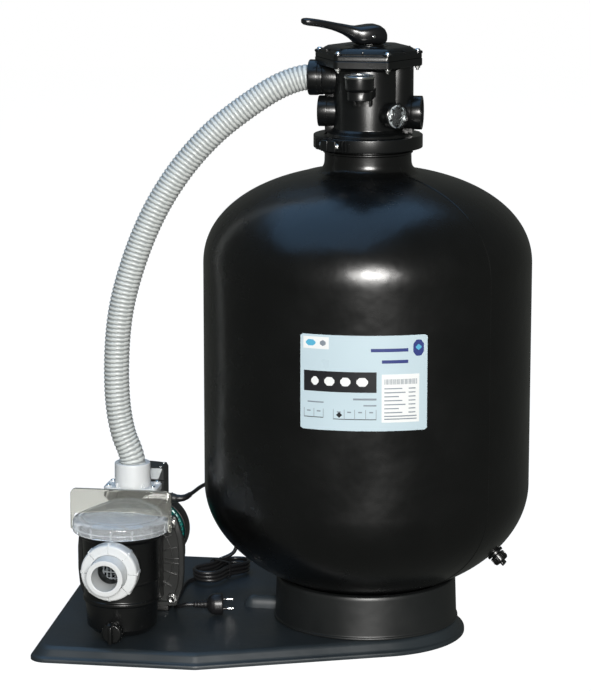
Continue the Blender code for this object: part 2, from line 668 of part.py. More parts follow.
def make_hose_fitting():
    """Threaded collar in the pump port that takes the hose's end."""
    profile = [(0.0165, 0.0600), (0.0242, 0.0600), (0.0242, 0.0758), (0.0300, 0.0758),
               (0.0300, 0.0990), (0.0285, 0.1010), (0.0226, 0.1010), (0.0226, 0.0790), (0.0165, 0.0770)]
    collar = turned("hose_collar", profile, "black_valve", 20, loop=True)
    aim(collar, (0, 0, PUMP_PORT_HEIGHT), (-1, 0, 0))


# ---------------------------------------------------------------- hose
HOSE_FREE_ROUTE = [          # between the mouth of the pump's socket and the valve's collar
    (DISCHARGE_X, DISCHARGE_Y, 0.3010), (-0.4040, -0.0612, 0.3180), (-0.4140, -0.0620, 0.3450),
    (-0.4215, -0.0622, 0.3800), (-0.4256, -0.0620, 0.4260), (-0.4250, -0.0608, 0.4930),
    (-0.4190, -0.0588, 0.5550), (-0.4070, -0.0560, 0.6100), (-0.3800, -0.0500, 0.6900),
    (-0.3480, -0.0440, 0.7560), (-0.3070, -0.0365, 0.8170), (-0.2600, -0.0280, 0.8690),
    (-0.2150, -0.0200, 0.9060), (-0.1600, -0.0100, 0.9430), (-0.1260, -0.0020, 0.9580),
    (-0.1040, 0.0, PUMP_PORT_HEIGHT),
]


def make_hose():
    """Ribbed hose from the pump's discharge socket up to the valve, straight inside both fittings."""
    route = [Vector((DISCHARGE_X, DISCHARGE_Y, 0.2680))]
    route += smooth_route(HOSE_FREE_ROUTE, 0.034)
    route.append(Vector((-0.0800, 0.0, PUMP_PORT_HEIGHT)))
    hollow_hose("hose", route, HOSE_RADIUS, HOSE_BORE, "grey_hose")


# ---------------------------------------------------------------- pump, wet end
def along_shaft(name, profile, finish=None, sides=28, loop=False):
    """Turn (radius, y) points about the pump's shaft."""
    obj = turned(name, profile, finish, sides, loop)
    return aim(obj, (PUMP_X, 0.0, SHAFT_HEIGHT), (0, 1, 0))


def make_strainer_pot():
    """Strainer pot with a threaded neck, a suction spigot, a bolting flange and a drain boss."""
    centre = Vector((PUMP_X, POT_Y, 0.0))
    profile = [(0, POT_FLOOR), (0.0480, POT_FLOOR), (0.0590, 0.0460), (0.0620, 0.0880),
               (0.0660, 0.0900), (0.0660, 0.0950), (0.0635, 0.0970), (0.0660, 0.2000),
               (0.0730, 0.2040), (0.0730, POT_TOP), (0.0650, POT_TOP), (0.0650, 0.2150),
               (0.0612, 0.2150), (0.0600, 0.1000), (0.0560, 0.0480), (0, 0.0410)]
    pot = turned("strainer_pot", profile, "pump_black", 24)
    pot.location = centre
    half, dip = 0.0800, 0.0690       # the flange dips between its upper bolts to clear the lid
    bulged_side = [(0.0790, -half), (0.0905, -0.0460), (0.0930, -0.0200), (0.0930, 0.0200),
                   (0.0905, 0.0460), (0.0790, half), (0.0520, half), (0.0400, dip)]
    flange_corners = rounded(bulged_side + [(-x, z) for x, z in reversed(bulged_side)], 0.004, 2)
    flange = stacked("pot_flange_guide", [
        [(PUMP_X + p.x, y, SHAFT_HEIGHT + p.y) for p in flange_corners] for y in (-0.1080, -0.0983)])
    throat = rod("pot_throat_guide", (PUMP_X, -0.1250, SHAFT_HEIGHT), (PUMP_X, -0.1000, SHAFT_HEIGHT),
                 0.0320, sides=24)
    spigot = rod("pot_spigot_guide", (PUMP_X, -0.2400, SUCTION_HEIGHT),
                 (PUMP_X, -0.2685, SUCTION_HEIGHT), 0.0400, sides=28)
    boss = rod("drain_boss_guide", (PUMP_X, -0.2385, POT_DRAIN_HEIGHT),
               (PUMP_X, -0.2500, POT_DRAIN_HEIGHT), 0.0140, sides=16)
    fuse(pot, flange, throat, spigot, boss)
    cut(pot,
        rod("suction_bore_guide", (PUMP_X, -0.2300, SUCTION_HEIGHT), (PUMP_X, -0.2800, SUCTION_HEIGHT),
            0.0225, sides=20),
        rod("throat_bore_guide", (PUMP_X, -0.1350, SHAFT_HEIGHT), (PUMP_X, -0.0900, SHAFT_HEIGHT),
            0.0217, sides=16),
        rod("drain_bore_guide", (PUMP_X, -0.2200, POT_DRAIN_HEIGHT),
            (PUMP_X, -0.2600, POT_DRAIN_HEIGHT), 0.0080, sides=12))


def make_pot_drain():
    """Winged plug and seal in the pot's drain boss."""
    place = (PUMP_X, -0.2500, POT_DRAIN_HEIGHT)
    seal = [(0.0082, GAP), (0.0120, GAP), (0.0120, 0.0018), (0.0082, 0.0018)]
    aim(turned("pot_drain_seal", seal, "rubber", 16, loop=True), place, (0, -1, 0))
    plug = [(0, -0.0140), (0.0076, -0.0140), (0.0076, 0.0021), (0.0150, 0.0021), (0.0150, 0.0100),
            (0.0120, 0.0130), (0, 0.0130)]
    plug = aim(turned("pot_drain_plug", plug, "pump_black", 16), place, (0, -1, 0))
    wing = block("plug_wing_guide", (-0.0026, -0.0135, 0.0110), (0.0026, 0.0135, 0.0260))
    fuse(plug, aim(wing, place, (0, -1, 0)))


def make_basket():
    """Slotted basket that hangs on the pot's ledge and lifts out."""
    profile = [(0, 0.0580), (0.0480, 0.0580), (0.0545, 0.2153), (0.0642, 0.2153), (0.0642, 0.2178),
               (0.0520, 0.2178), (0.0458, 0.0605), (0, 0.0605)]
    basket = turned("strainer_basket", profile, "basket_grey", 24)
    basket.location = (PUMP_X, POT_Y, 0)
    slots = bmesh.new()
    for number in range(12):
        angle = 15 + 30 * number
        made = bmesh.ops.create_cube(slots, size=1.0)["verts"]
        bmesh.ops.scale(slots, vec=(0.020, 0.007, 0.110), verts=made)
        bmesh.ops.translate(slots, vec=(0.052, 0, 0.125), verts=made)
        bmesh.ops.rotate(slots, cent=(0, 0, 0), matrix=Matrix.Rotation(math.radians(angle), 3, "Z"),
                         verts=made)
    slots = from_bmesh("basket_slots_guide", slots)
    slots.location = (PUMP_X, POT_Y, 0)
    inlet = rod("basket_inlet_guide", (PUMP_X, POT_Y - 0.030, SUCTION_HEIGHT),
                (PUMP_X, POT_Y - 0.070, SUCTION_HEIGHT), 0.0215, sides=16)
    cut(basket, slots, inlet)


def make_lid():
    """Clear screw lid with a domed top and an upright wall across it to grip."""
    centre = (PUMP_X, POT_Y, 0)
    seal = [(0.0660, POT_TOP + GAP), (0.0725, POT_TOP + GAP), (0.0725, 0.2295), (0.0660, 0.2295)]
    turned("lid_seal", seal, "rubber", 24, loop=True).location = centre
    profile = [(0, 0.2345), (0.0600, 0.2298), (0.0736, 0.2298), (0.0736, 0.2100), (0.0812, 0.2100),
               (0.0812, 0.2315), (0.0780, 0.2345), (0.0600, 0.2350), (0.0300, 0.2385), (0, 0.2395)]
    lid = turned("strainer_lid", profile, "clear_plastic", 32)
    lid.location = centre
    ear = 0.0028
    for hand in (-1, 1):
        low, high = sorted((hand * 0.0740, hand * 0.0870))
        fuse(lid, place_at(block(f"lid_ear_guide_{hand}", (low, -ear, 0.2085), (high, ear, 0.2400)), centre))
    crown = rounded([(-0.0870, 0.2330), (0.0870, 0.2330), (0.0870, 0.2790), (-0.0870, 0.2790)], 0.0105, 4)
    wall = stacked("lid_wall_guide", [[(p.x, y, p.y) for p in crown] for y in (-ear, ear)])
    fuse(lid, place_at(wall, centre))


def place_at(obj, place):
    obj.location = place
    return obj


def make_suction_union():
    """White union nut and tail that join the suction pipe to the pot."""
    place = (PUMP_X, -0.2685, SUCTION_HEIGHT)
    tail = [(0.0215, GAP), (0.0365, GAP), (0.0365, 0.0060), (0.0315, 0.0075), (0.0315, 0.0471),
            (0.0215, 0.0471)]
    aim(turned("suction_tail", tail, "white_fitting", 24, loop=True), place, (0, -1, 0))
    nut = [(0.0404, -0.0130), (0.0480, -0.0130), (0.0495, -0.0110), (0.0495, 0.0110), (0.0470, 0.0150),
           (0.0320, 0.0150), (0.0320, 0.0082), (0.0404, 0.0068)]
    aim(turned("suction_nut", nut, "white_fitting", 24, loop=True), place, (0, -1, 0))


def make_volute():
    """Volute behind the pot, with an upright discharge neck and its flange."""
    volute = along_shaft("volute", [
        (0.0220, -0.0980), (0.0760, -0.0980), (0.0860, -0.0900), (0.0860, -0.0540), (0.0950, -0.0520),
        (0.0950, -0.0400), (0.0700, -0.0400), (0.0700, -0.0880), (0.0220, -0.0880)],
        "pump_black", 24, loop=True)
    neck = rod("discharge_neck_guide", (DISCHARGE_X, DISCHARGE_Y, 0.2000), (DISCHARGE_X, DISCHARGE_Y, 0.2440),
               0.0195, sides=20)
    plate = block("discharge_plate_guide", (DISCHARGE_X - 0.0475, DISCHARGE_Y - 0.0275, 0.2400),
                  (DISCHARGE_X + 0.0475, DISCHARGE_Y + 0.0275, 0.2467))
    fuse(volute, neck, plate)
    cut(volute, rod("discharge_bore_guide", (DISCHARGE_X, DISCHARGE_Y, 0.1850),
                    (DISCHARGE_X, DISCHARGE_Y, 0.2600), 0.0150, sides=16))


def make_discharge_socket():
    """White flanged socket that the hose stands in."""
    socket = turned("discharge_socket", [
        (0.0165, 0.2472), (0.0312, 0.2472), (0.0312, 0.2960), (0.0300, 0.2980), (0.0226, 0.2980),
        (0.0226, 0.2640), (0.0165, 0.2620)], "white_fitting", 20, loop=True)
    socket.location = (DISCHARGE_X, DISCHARGE_Y, 0)
    flange = block("socket_flange_guide", (DISCHARGE_X - 0.0475, DISCHARGE_Y - 0.0275, 0.2470),
                   (DISCHARGE_X + 0.0475, DISCHARGE_Y + 0.0275, 0.2570))
    cut(flange, rod("socket_core_guide", (DISCHARGE_X, DISCHARGE_Y, 0.24), (DISCHARGE_X, DISCHARGE_Y, 0.27),
                    0.0200, sides=20))
    fuse(socket, flange)


def shaft_frame():
    """Matrix that turns a piece drawn about Z so that it lies along the pump's shaft."""
    turn = Vector((0, 1, 0)).to_track_quat("Z", "Y").to_matrix().to_4x4()
    return Matrix.Translation((PUMP_X, 0, SHAFT_HEIGHT)) @ turn


def make_impeller():
    """Closed-back impeller with six vanes."""
    impeller = along_shaft("impeller", [
        (0.0063, -0.0820), (0.0120, -0.0820), (0.0120, -0.0670), (0.0520, -0.0670), (0.0520, -0.0630),
        (0.0063, -0.0630)], "white_plastic", 24, loop=True)
    for number in range(6):
        vane = block(f"vane_guide_{number}", (0.0100, -0.0012, -0.0800), (0.0510, 0.0012, -0.0650))
        vane.matrix_world = shaft_frame() @ Matrix.Rotation(math.radians(60 * number), 4, "Z")
        fuse(impeller, vane)


# ---------------------------------------------------------------- pump, motor end
def make_motor():
    """Seal plate with a foot, motor shell, stator, shaft with its rotor, bearings, fan and cover."""
    bracket = along_shaft("motor_bracket", [
        (0.0085, -0.0397), (0.0950, -0.0397), (0.0950, -0.0290), (0.0250, -0.0290), (0.0250, -0.0130),
        (0.0163, -0.0130), (0.0163, -0.0270), (0.0085, -0.0270)], "pump_black", 24, loop=True)
    foot = block("bracket_foot_guide", (PUMP_X - 0.052, -0.0390, PLINTH_TOP + GAP),
                 (PUMP_X + 0.052, 0.0000, 0.0400))
    neck = block("foot_web_guide", (PUMP_X - 0.030, -0.0390, 0.0350), (PUMP_X + 0.030, -0.0295, 0.0900))
    fuse(bracket, foot, neck)
    along_shaft("shaft_seal", [(0.0063, -0.0622), (0.0145, -0.0622), (0.0145, -0.0402),
                               (0.0063, -0.0402)], "rubber", 20, loop=True)
    along_shaft("motor_housing", [
        (0.0260, -0.0286), (MOTOR_RADIUS, -0.0286), (MOTOR_RADIUS, 0.0950), (0.0163, 0.0950),
        (0.0163, 0.0870), (0.0530, 0.0870), (0.0530, -0.0250), (0.0260, -0.0250)],
        "teal_paint", 24, loop=True)
    along_shaft("stator", [(0.0340, -0.0050), (0.0526, -0.0050), (0.0526, 0.0700), (0.0340, 0.0700)],
                "copper_winding", 24, loop=True)
    along_shaft("motor_shaft", [(0, -0.0840), (0.0060, -0.0840), (0.0060, -0.0050), (0.0330, -0.0030),
                                (0.0330, 0.0680), (0.0060, 0.0700), (0.0060, 0.1160), (0, 0.1160)],
                "stainless", 20)
    ring = [(0.0063, 0.0), (0.0160, 0.0), (0.0160, 0.0070), (0.0063, 0.0070)]
    for name, low in (("front_bearing", -0.0220), ("rear_bearing", 0.0873)):
        along_shaft(name, [(radius, low + y) for radius, y in ring], "stainless", 20, loop=True)
    fan = along_shaft("cooling_fan", [(0.0063, 0.0980), (0.0130, 0.0980), (0.0130, 0.1120),
                                      (0.0063, 0.1120)], "black_valve", 16, loop=True)
    for number in range(6):
        blade = block(f"fan_blade_guide_{number}", (0.0115, -0.0010, 0.0990), (0.0480, 0.0010, 0.1110))
        blade.matrix_world = shaft_frame() @ Matrix.Rotation(math.radians(60 * number), 4, "Z")
        fuse(fan, blade)
    cover = along_shaft("fan_cover", [
        (0.0586, 0.0800), (0.0608, 0.0800), (0.0608, 0.1160), (0.0540, 0.1230), (0, 0.1230),
        (0, 0.1205), (0.0530, 0.1205), (0.0586, 0.1150)], "black_valve", 24, loop=True)
    slots = bmesh.new()
    for number in range(8):
        made = bmesh.ops.create_cube(slots, size=1.0)["verts"]
        bmesh.ops.scale(slots, vec=(0.030, 0.0070, 0.012), verts=made)
        bmesh.ops.translate(slots, vec=(0.031, 0, 0.1218), verts=made)
        bmesh.ops.rotate(slots, cent=(0, 0, 0), matrix=Matrix.Rotation(math.radians(45 * number), 3, "Z"),
                         verts=made)
    slots = from_bmesh("fan_slots_guide", slots)
    slots.matrix_world = shaft_frame()
    cut(cover, slots)


def make_terminal_box():
    """Hollow terminal box saddled on the motor, and the gland that the cord leaves by."""
    half, shoulder, crown_half, crown_rise = 0.0440, 0.2740, 0.0275, 0.0110
    crown_radius = (crown_half ** 2 + crown_rise ** 2) / (2 * crown_rise)
    section = [(-half, 0.1700), (half, 0.1700), (half, 0.2570), (0.0390, shoulder)]
    for step in range(9):
        x = crown_half * (1 - step / 4)
        section.append((x, shoulder + crown_rise - crown_radius + math.sqrt(crown_radius ** 2 - x * x)))
    section += [(-0.0390, shoulder), (-half, 0.2570)]
    box = stacked("terminal_box", [[(PUMP_X + x, y, z) for x, z in section] for y in (0.0, 0.0740)],
                  "black_valve")
    saddle = rod("box_saddle_guide", (PUMP_X, -0.02, SHAFT_HEIGHT), (PUMP_X, 0.10, SHAFT_HEIGHT),
                 MOTOR_RADIUS + GAP, sides=24)
    room = block("box_room_guide", (PUMP_X - 0.041, 0.0030, 0.1500), (PUMP_X + 0.041, 0.0710, 0.2540))
    cut(box, saddle, room)
    gland = turned("cable_gland", [(0, GAP), (0.0105, GAP), (0.0105, 0.0050), (0.0085, 0.0060),
                                   (0.0070, 0.0100), (0, 0.0100)], "black_valve", 12)
    aim(gland, GLAND_PLACE, (1, 0, 0))


# ---------------------------------------------------------------- cord
GLAND_PLACE = Vector((PUMP_X + 0.044, 0.0300, 0.2120))
HANK_MIDDLE = Vector((-0.2900, 0.1880, 0.0))
HANK_TURN = 62.0             # degrees from +X along the hank's length
HANK_LENGTH = 0.135
HANK_WIDTH = 0.055
HANK_HEIGHT = 0.028
PLUG_REAR = Vector((-0.2960, -0.0560, 0.0450))
PLUG_AXIS = Vector((1.0, 0.22, 0.0)).normalized()

CORD_ROUTE = [               # leaves the gland square and comes down square on the hank's top
    (-0.3407, 0.0300, 0.2120), (-0.3340, 0.0300, 0.2120), (-0.3265, 0.0345, 0.2130),
    (-0.3180, 0.0550, 0.2160), (-0.3080, 0.0950, 0.2190), (-0.2980, 0.1350, 0.2150),
    (-0.2880, 0.1700, 0.1980), (-0.2800, 0.1980, 0.1700), (-0.2740, 0.2170, 0.1370),
    (-0.2700, 0.2300, 0.1040), (-0.2675, 0.2390, 0.0760), (-0.2668, 0.2420, 0.0620),
    (-0.2668, 0.2420, 0.0540),
]
TAIL_ROUTE = [               # leaves the hank's rounded end square and meets the plug square
    (-0.3239, 0.1291, 0.0290), (-0.3290, 0.1200, 0.0290), (-0.3370, 0.1000, 0.0290),
    (-0.3410, 0.0780, 0.0290), (-0.3420, 0.0500, 0.0290), (-0.3400, 0.0150, 0.0290),
    (-0.3355, -0.0150, 0.0300), (-0.3290, -0.0390, 0.0350), (-0.3180, -0.0560, 0.0410),
    (-0.3070, -0.0584, 0.0450), (-0.2963, -0.0561, 0.0450),
]


def square_ended(points, spacing):
    """A smooth route whose first and last pieces keep the exact directions they are given."""
    return [Vector(points[0])] + smooth_route(points[1:-1], spacing) + [Vector(points[-1])]


def make_cord():
    """Mains lead: from the gland down to a tied hank on the plinth, then on to its plug."""
    cord_tube("power_cord", square_ended(CORD_ROUTE, 0.014), CORD_RADIUS, "cord_black")
    half, radius = HANK_LENGTH / 2 - HANK_WIDTH / 2, HANK_WIDTH / 2
    outline = [Vector((half, 0, 0)) + polar(radius, -90 + 22.5 * i) for i in range(9)]
    outline += [Vector((-half, 0, 0)) + polar(radius, 90 + 22.5 * i) for i in range(9)]
    bottom = PLINTH_TOP + GAP
    hank = stacked("cord_hank", [[(p.x, p.y, bottom + level) for p in outline]
                                 for level in (0.0, HANK_HEIGHT)], "cord_black")
    hank.location = (HANK_MIDDLE.x, HANK_MIDDLE.y, 0)
    hank.rotation_euler = (0, 0, math.radians(HANK_TURN))
    cord_tube("cord_tail", square_ended(TAIL_ROUTE, 0.014), CORD_RADIUS, "cord_black")


def make_plug():
    """Two-pin mains plug lying on the plinth, with its tapered strain relief."""
    body = [(0, 0), (0.0050, 0), (0.0075, 0.0240), (0.0150, 0.0300), (0.0190, 0.0360),
            (0.0190, 0.0500), (0.0175, 0.0520), (0, 0.0520)]
    plug = aim(turned("mains_plug", body, "cord_black", 20), PLUG_REAR, PLUG_AXIS)
    lean = Vector((0, -0.25, 1.0)).normalized()
    for number, hand in enumerate((-1, 1)):
        foot = PLUG_REAR + PLUG_AXIS * 0.0500 + lean * hand * 0.0095
        fuse(plug, rod(f"plug_pin_guide_{number}", foot, foot + PLUG_AXIS * 0.0210, 0.0024, sides=10))


clear_scene()
make_plinth()
make_tank_foot()
make_tank()
make_tank_drain()
make_underdrain()
make_clamp()
make_valve_body()
make_valve_inside()
make_valve_cover()
make_lever()
make_gauge()
make_sight_glass()
make_hose_fitting()
make_hose()
make_strainer_pot()
make_pot_drain()
make_basket()
make_lid()
make_suction_union()
make_volute()
make_discharge_socket()
make_impeller()
make_motor()
make_terminal_box()
make_cord()
make_plug()
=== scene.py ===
"""Looks of a pool sand filter set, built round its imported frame. Metres, +Z up.

The tank stands on the Z axis, the pump at -X with its shaft along Y, and the suction union faces -Y.
"""
import math

import bmesh
import bpy
from mathutils import Matrix, Vector


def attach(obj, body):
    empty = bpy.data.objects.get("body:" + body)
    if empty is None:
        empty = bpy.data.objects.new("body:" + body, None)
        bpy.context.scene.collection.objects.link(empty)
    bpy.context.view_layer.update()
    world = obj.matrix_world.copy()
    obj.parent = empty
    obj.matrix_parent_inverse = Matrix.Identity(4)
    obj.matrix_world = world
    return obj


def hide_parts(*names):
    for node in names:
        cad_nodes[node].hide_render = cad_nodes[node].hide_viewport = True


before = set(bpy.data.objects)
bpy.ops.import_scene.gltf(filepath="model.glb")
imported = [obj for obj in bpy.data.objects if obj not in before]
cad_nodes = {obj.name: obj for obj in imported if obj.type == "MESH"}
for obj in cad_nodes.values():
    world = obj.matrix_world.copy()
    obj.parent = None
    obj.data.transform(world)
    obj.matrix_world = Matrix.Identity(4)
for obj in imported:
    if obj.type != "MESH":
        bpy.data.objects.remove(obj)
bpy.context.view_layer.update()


# ---------------------------------------------------------------- camera
# A person's eye about five metres off, a little to the right of the tank and looking slightly down
# on it, through a long lens so that upright edges stay upright.
camera_data = bpy.data.cameras.new("camera")
camera_data.lens = 155.1
camera_data.sensor_width = 36.0
camera = bpy.data.objects.new("camera", camera_data)
camera.location = (0.661, -4.958, 1.53)
camera.rotation_euler = (math.radians(78.4), 0.0, math.radians(9.0))
bpy.context.scene.collection.objects.link(camera)
bpy.context.scene.camera = camera
bpy.context.scene.view_settings.view_transform = "Standard"


# ---------------------------------------------------------------- mains lead, its hank and its plug
# Round rubber-sheathed lead that leaves the terminal box by a tapered boot, drops to a folded hank
# held by a strap on the plinth, and runs on to a moulded two-pin plug lying beside the tank's foot.
def put(name, bm, body, finishes, stands_for=(), crease=38.0):
    """Make a piece of a finished bmesh, riding on a body and standing for its CAD nodes."""
    bmesh.ops.recalc_face_normals(bm, faces=bm.faces)
    mesh = bpy.data.meshes.new(name)
    bm.to_mesh(mesh)
    bm.free()
    mesh.shade_smooth()
    mesh.set_sharp_from_angle(angle=math.radians(crease))
    for finish in finishes:
        mesh.materials.append(finish)
    made = bpy.data.objects.new(name, mesh)
    bpy.context.scene.collection.objects.link(made)
    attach(made, body)
    if stands_for:
        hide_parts(*stands_for)
    return made


def moulded(name, colour, roughness, mottle=0.18, haze=0.05, grain=0.00005, metallic=0.0,
            grain_size=0.0012, peel=0.0):
    """Finish of a moulded or painted surface: uneven tone, hazy patches, a fine grain and a peel."""
    finish = bpy.data.materials.new(name)
    finish.use_nodes = True
    nodes, links = finish.node_tree.nodes, finish.node_tree.links
    shader = nodes["Principled BSDF"]
    shader.inputs["Metallic"].default_value = metallic
    place = nodes.new("ShaderNodeTexCoord")
    clouds = nodes.new("ShaderNodeTexNoise")
    clouds.inputs["Scale"].default_value = 11.0
    clouds.inputs["Detail"].default_value = 5.0
    links.new(place.outputs["Object"], clouds.inputs["Vector"])
    tone = nodes.new("ShaderNodeMix")
    tone.data_type = "RGBA"
    tone.inputs[6].default_value = (*(c * (1 - mottle) for c in colour), 1.0)
    tone.inputs[7].default_value = (*(min(1.0, c * (1 + mottle)) for c in colour), 1.0)
    links.new(clouds.outputs["Fac"], tone.inputs["Factor"])
    links.new(tone.outputs[2], shader.inputs["Base Color"])
    shine = nodes.new("ShaderNodeMapRange")
    shine.inputs["From Min"].default_value = 0.3
    shine.inputs["From Max"].default_value = 0.7
    shine.inputs["To Min"].default_value = roughness - haze
    shine.inputs["To Max"].default_value = roughness + haze
    links.new(clouds.outputs["Fac"], shine.inputs["Value"])
    links.new(shine.outputs["Result"], shader.inputs["Roughness"])
    fine = nodes.new("ShaderNodeTexNoise")
    fine.inputs["Scale"].default_value = 1.0 / grain_size
    fine.inputs["Detail"].default_value = 2.0
    links.new(place.outputs["Object"], fine.inputs["Vector"])
    bump = nodes.new("ShaderNodeBump")
    bump.inputs["Strength"].default_value = 0.5
    bump.inputs["Distance"].default_value = grain
    links.new(fine.outputs["Fac"], bump.inputs["Height"])
    links.new(bump.outputs["Normal"], shader.inputs["Normal"])
    if peel:
        slow = nodes.new("ShaderNodeTexNoise")
        slow.inputs["Scale"].default_value = 45.0
        slow.inputs["Detail"].default_value = 1.0
        links.new(place.outputs["Object"], slow.inputs["Vector"])
        under = nodes.new("ShaderNodeBump")
        under.inputs["Strength"].default_value = 0.6
        under.inputs["Distance"].default_value = peel
        links.new(slow.outputs["Fac"], under.inputs["Height"])
        links.new(under.outputs["Normal"], bump.inputs["Normal"])
    return finish


def smooth_route(points, spacing):
    """Evenly spaced points on a centripetal Catmull-Rom curve through the route's own points."""
    points = [Vector(p) for p in points]
    chain = [points[0] * 2 - points[1]] + points + [points[-1] * 2 - points[-2]]
    fine = []
    for a, b, c, d in zip(chain, chain[1:], chain[2:], chain[3:]):
        ta = 0.0
        tb = ta + math.sqrt((b - a).length)
        tc = tb + math.sqrt((c - b).length)
        td = tc + math.sqrt((d - c).length)
        for step in range(24):
            t = tb + (tc - tb) * step / 24
            ab = a.lerp(b, (t - ta) / (tb - ta))
            bc = b.lerp(c, (t - tb) / (tc - tb))
            cd = c.lerp(d, (t - tc) / (td - tc))
            abc = ab.lerp(bc, (t - ta) / (tc - ta))
            bcd = bc.lerp(cd, (t - tb) / (td - tb))
            fine.append(abc.lerp(bcd, (t - tb) / (tc - tb)))
    fine.append(points[-1])
    total = sum((q - p).length for p, q in zip(fine, fine[1:]))
    count = max(2, round(total / spacing))
    even, walked = [fine[0]], 0.0
    for p, q in zip(fine, fine[1:]):
        length = (q - p).length
        while len(even) < count and walked + length >= total * len(even) / count:
            even.append(p.lerp(q, (total * len(even) / count - walked) / length))
        walked += length
    return even + [fine[-1]]


def lathe(bm, profile, sides=96, place=(0, 0, 0), towards=(0, 0, 1), ring=False, finish=0, sweep=None):
    """Turn a (radius, height) profile about an axis. ring joins its ends; sweep is a part turn."""
    turn = Vector(towards).to_track_quat("Z", "Y").to_matrix().to_4x4()
    matrix = Matrix.Translation(Vector(place)) @ turn
    first, last = sweep or (0.0, 360.0)
    count = sides + 1 if sweep else sides
    angles = [math.radians(first + (last - first) * i / sides) for i in range(count)]
    rings = []
    for radius, height in profile:
        if radius < 1e-6:
            rings.append([bm.verts.new(matrix @ Vector((0, 0, height)))])
        else:
            rings.append([bm.verts.new(matrix @ Vector((radius * math.cos(a), radius * math.sin(a),
                                                        height)))
                          for a in angles])
    pairs = list(zip(rings, rings[1:]))
    if ring:
        pairs.append((rings[-1], rings[0]))
    for low, high in pairs:
        for i in range(sides):
            j = (i + 1) % count
            corners = [low[i % len(low)], low[j % len(low)], high[j % len(high)], high[i % len(high)]]
            corners = list(dict.fromkeys(corners))
            if len(corners) > 2:
                bm.faces.new(corners).material_index = finish
    if sweep:
        bm.faces.new([r[0] for r in rings]).material_index = finish
        bm.faces.new([r[-1] for r in rings]).material_index = finish


def softened(profile, radius, steps=3, ring=False):
    """A profile with each of its corners eased into a small curve."""
    points = [Vector(p) for p in profile]
    eased = []
    for i, corner in enumerate(points):
        if not ring and i in (0, len(points) - 1):
            eased.append(corner)
            continue
        before, after = points[i - 1], points[(i + 1) % len(points)]
        reach_in = min(radius, (before - corner).length * 0.45)
        reach_out = min(radius, (after - corner).length * 0.45)
        start = corner + (before - corner).normalized() * reach_in
        end = corner + (after - corner).normalized() * reach_out
        for step in range(steps + 1):
            t = step / steps
            eased.append(start * (1 - t) ** 2 + corner * 2 * t * (1 - t) + end * t * t)
    return [tuple(p) for p in eased]


def tube(bm, route, radii, sides=16, finish=0):
    """Skin a round bar of changing radius along a route, closed at both ends."""
    side = Vector((0.0, 0.0, 1.0)) if abs((route[1] - route[0]).normalized().z) < 0.9 else Vector((1, 0, 0))
    rings = []
    for i, (point, radius) in enumerate(zip(route, radii)):
        along = (route[min(i + 1, len(route) - 1)] - route[max(i - 1, 0)]).normalized()
        side = (side - along * side.dot(along)).normalized()
        up = along.cross(side)
        rings.append([bm.verts.new(point + (side * math.cos(2 * math.pi * k / sides)
                                            + up * math.sin(2 * math.pi * k / sides)) * radius)
                      for k in range(sides)])
    for low, high in zip(rings, rings[1:]):
        for k in range(sides):
            j = (k + 1) % sides
            bm.faces.new((low[k], low[j], high[j], high[k])).material_index = finish
    bm.faces.new(rings[0]).material_index = finish
    bm.faces.new(rings[-1]).material_index = finish


LEAD_RADIUS = 0.0035
LEAD_DOWN = [
    (-0.3407, 0.0300, 0.2120), (-0.3340, 0.0300, 0.2120), (-0.3265, 0.0345, 0.2130),
    (-0.3180, 0.0550, 0.2160), (-0.3080, 0.0950, 0.2190), (-0.2980, 0.1350, 0.2150),
    (-0.2880, 0.1700, 0.1980), (-0.2800, 0.1980, 0.1700), (-0.2740, 0.2170, 0.1370),
    (-0.2700, 0.2300, 0.1040), (-0.2690, 0.2330, 0.0820), (-0.2750, 0.2260, 0.0620),
]
LEAD_TAIL = [
    (-0.3425, 0.1390, 0.0288), (-0.3450, 0.1080, 0.0288), (-0.3435, 0.0780, 0.0288),
    (-0.3420, 0.0500, 0.0290), (-0.3400, 0.0150, 0.0290), (-0.3355, -0.0150, 0.0300),
    (-0.3290, -0.0390, 0.0350), (-0.3180, -0.0560, 0.0410), (-0.3070, -0.0584, 0.0450),
    (-0.2963, -0.0561, 0.0450),
]
HANK_PLACE = Vector((-0.2900, 0.1880, 0.0))
HANK_ALONG = Vector((math.cos(math.radians(62.0)), math.sin(math.radians(62.0)), 0.0))
HANK_ACROSS = Vector((-HANK_ALONG.y, HANK_ALONG.x, 0.0))
HANK_RUN = 0.080             # straight length between the two folds
HANK_FOLD = 0.024            # radius of the folds
HANK_PINCH = 0.008           # how far the strap draws each run in
HANK_PITCH = 0.0071          # one turn lies on the next
HANK_FLOOR = 0.0288


def hank_point(turns, height):
    """A point of the folded winding, counted in turns from the middle of its far fold."""
    around = HANK_RUN * 2 + 2 * math.pi * HANK_FOLD
    walked = (turns % 1.0) * around
    quarter = math.pi * HANK_FOLD / 2
    half_run = HANK_RUN / 2
    spread = 1.0 + 0.10 * math.sin(2.3 * math.floor(turns) + 0.7)
    if walked < quarter or walked >= around - quarter:
        angle = (walked if walked < quarter else walked - around) / HANK_FOLD
        u, v = half_run + HANK_FOLD * spread * math.cos(angle), HANK_FOLD * math.sin(angle)
    elif walked < quarter + HANK_RUN:
        u = half_run - (walked - quarter)
        v = HANK_FOLD - HANK_PINCH * math.cos(math.pi * u / HANK_RUN) ** 2
    elif walked < 3 * quarter + HANK_RUN:
        angle = math.pi / 2 + (walked - quarter - HANK_RUN) / HANK_FOLD
        u, v = -half_run + HANK_FOLD * spread * math.cos(angle), HANK_FOLD * math.sin(angle)
    else:
        u = -half_run + (walked - 3 * quarter - HANK_RUN)
        v = -HANK_FOLD + HANK_PINCH * math.cos(math.pi * u / HANK_RUN) ** 2
    return HANK_PLACE + HANK_ALONG * u + HANK_ACROSS * v + Vector((0, 0, height))


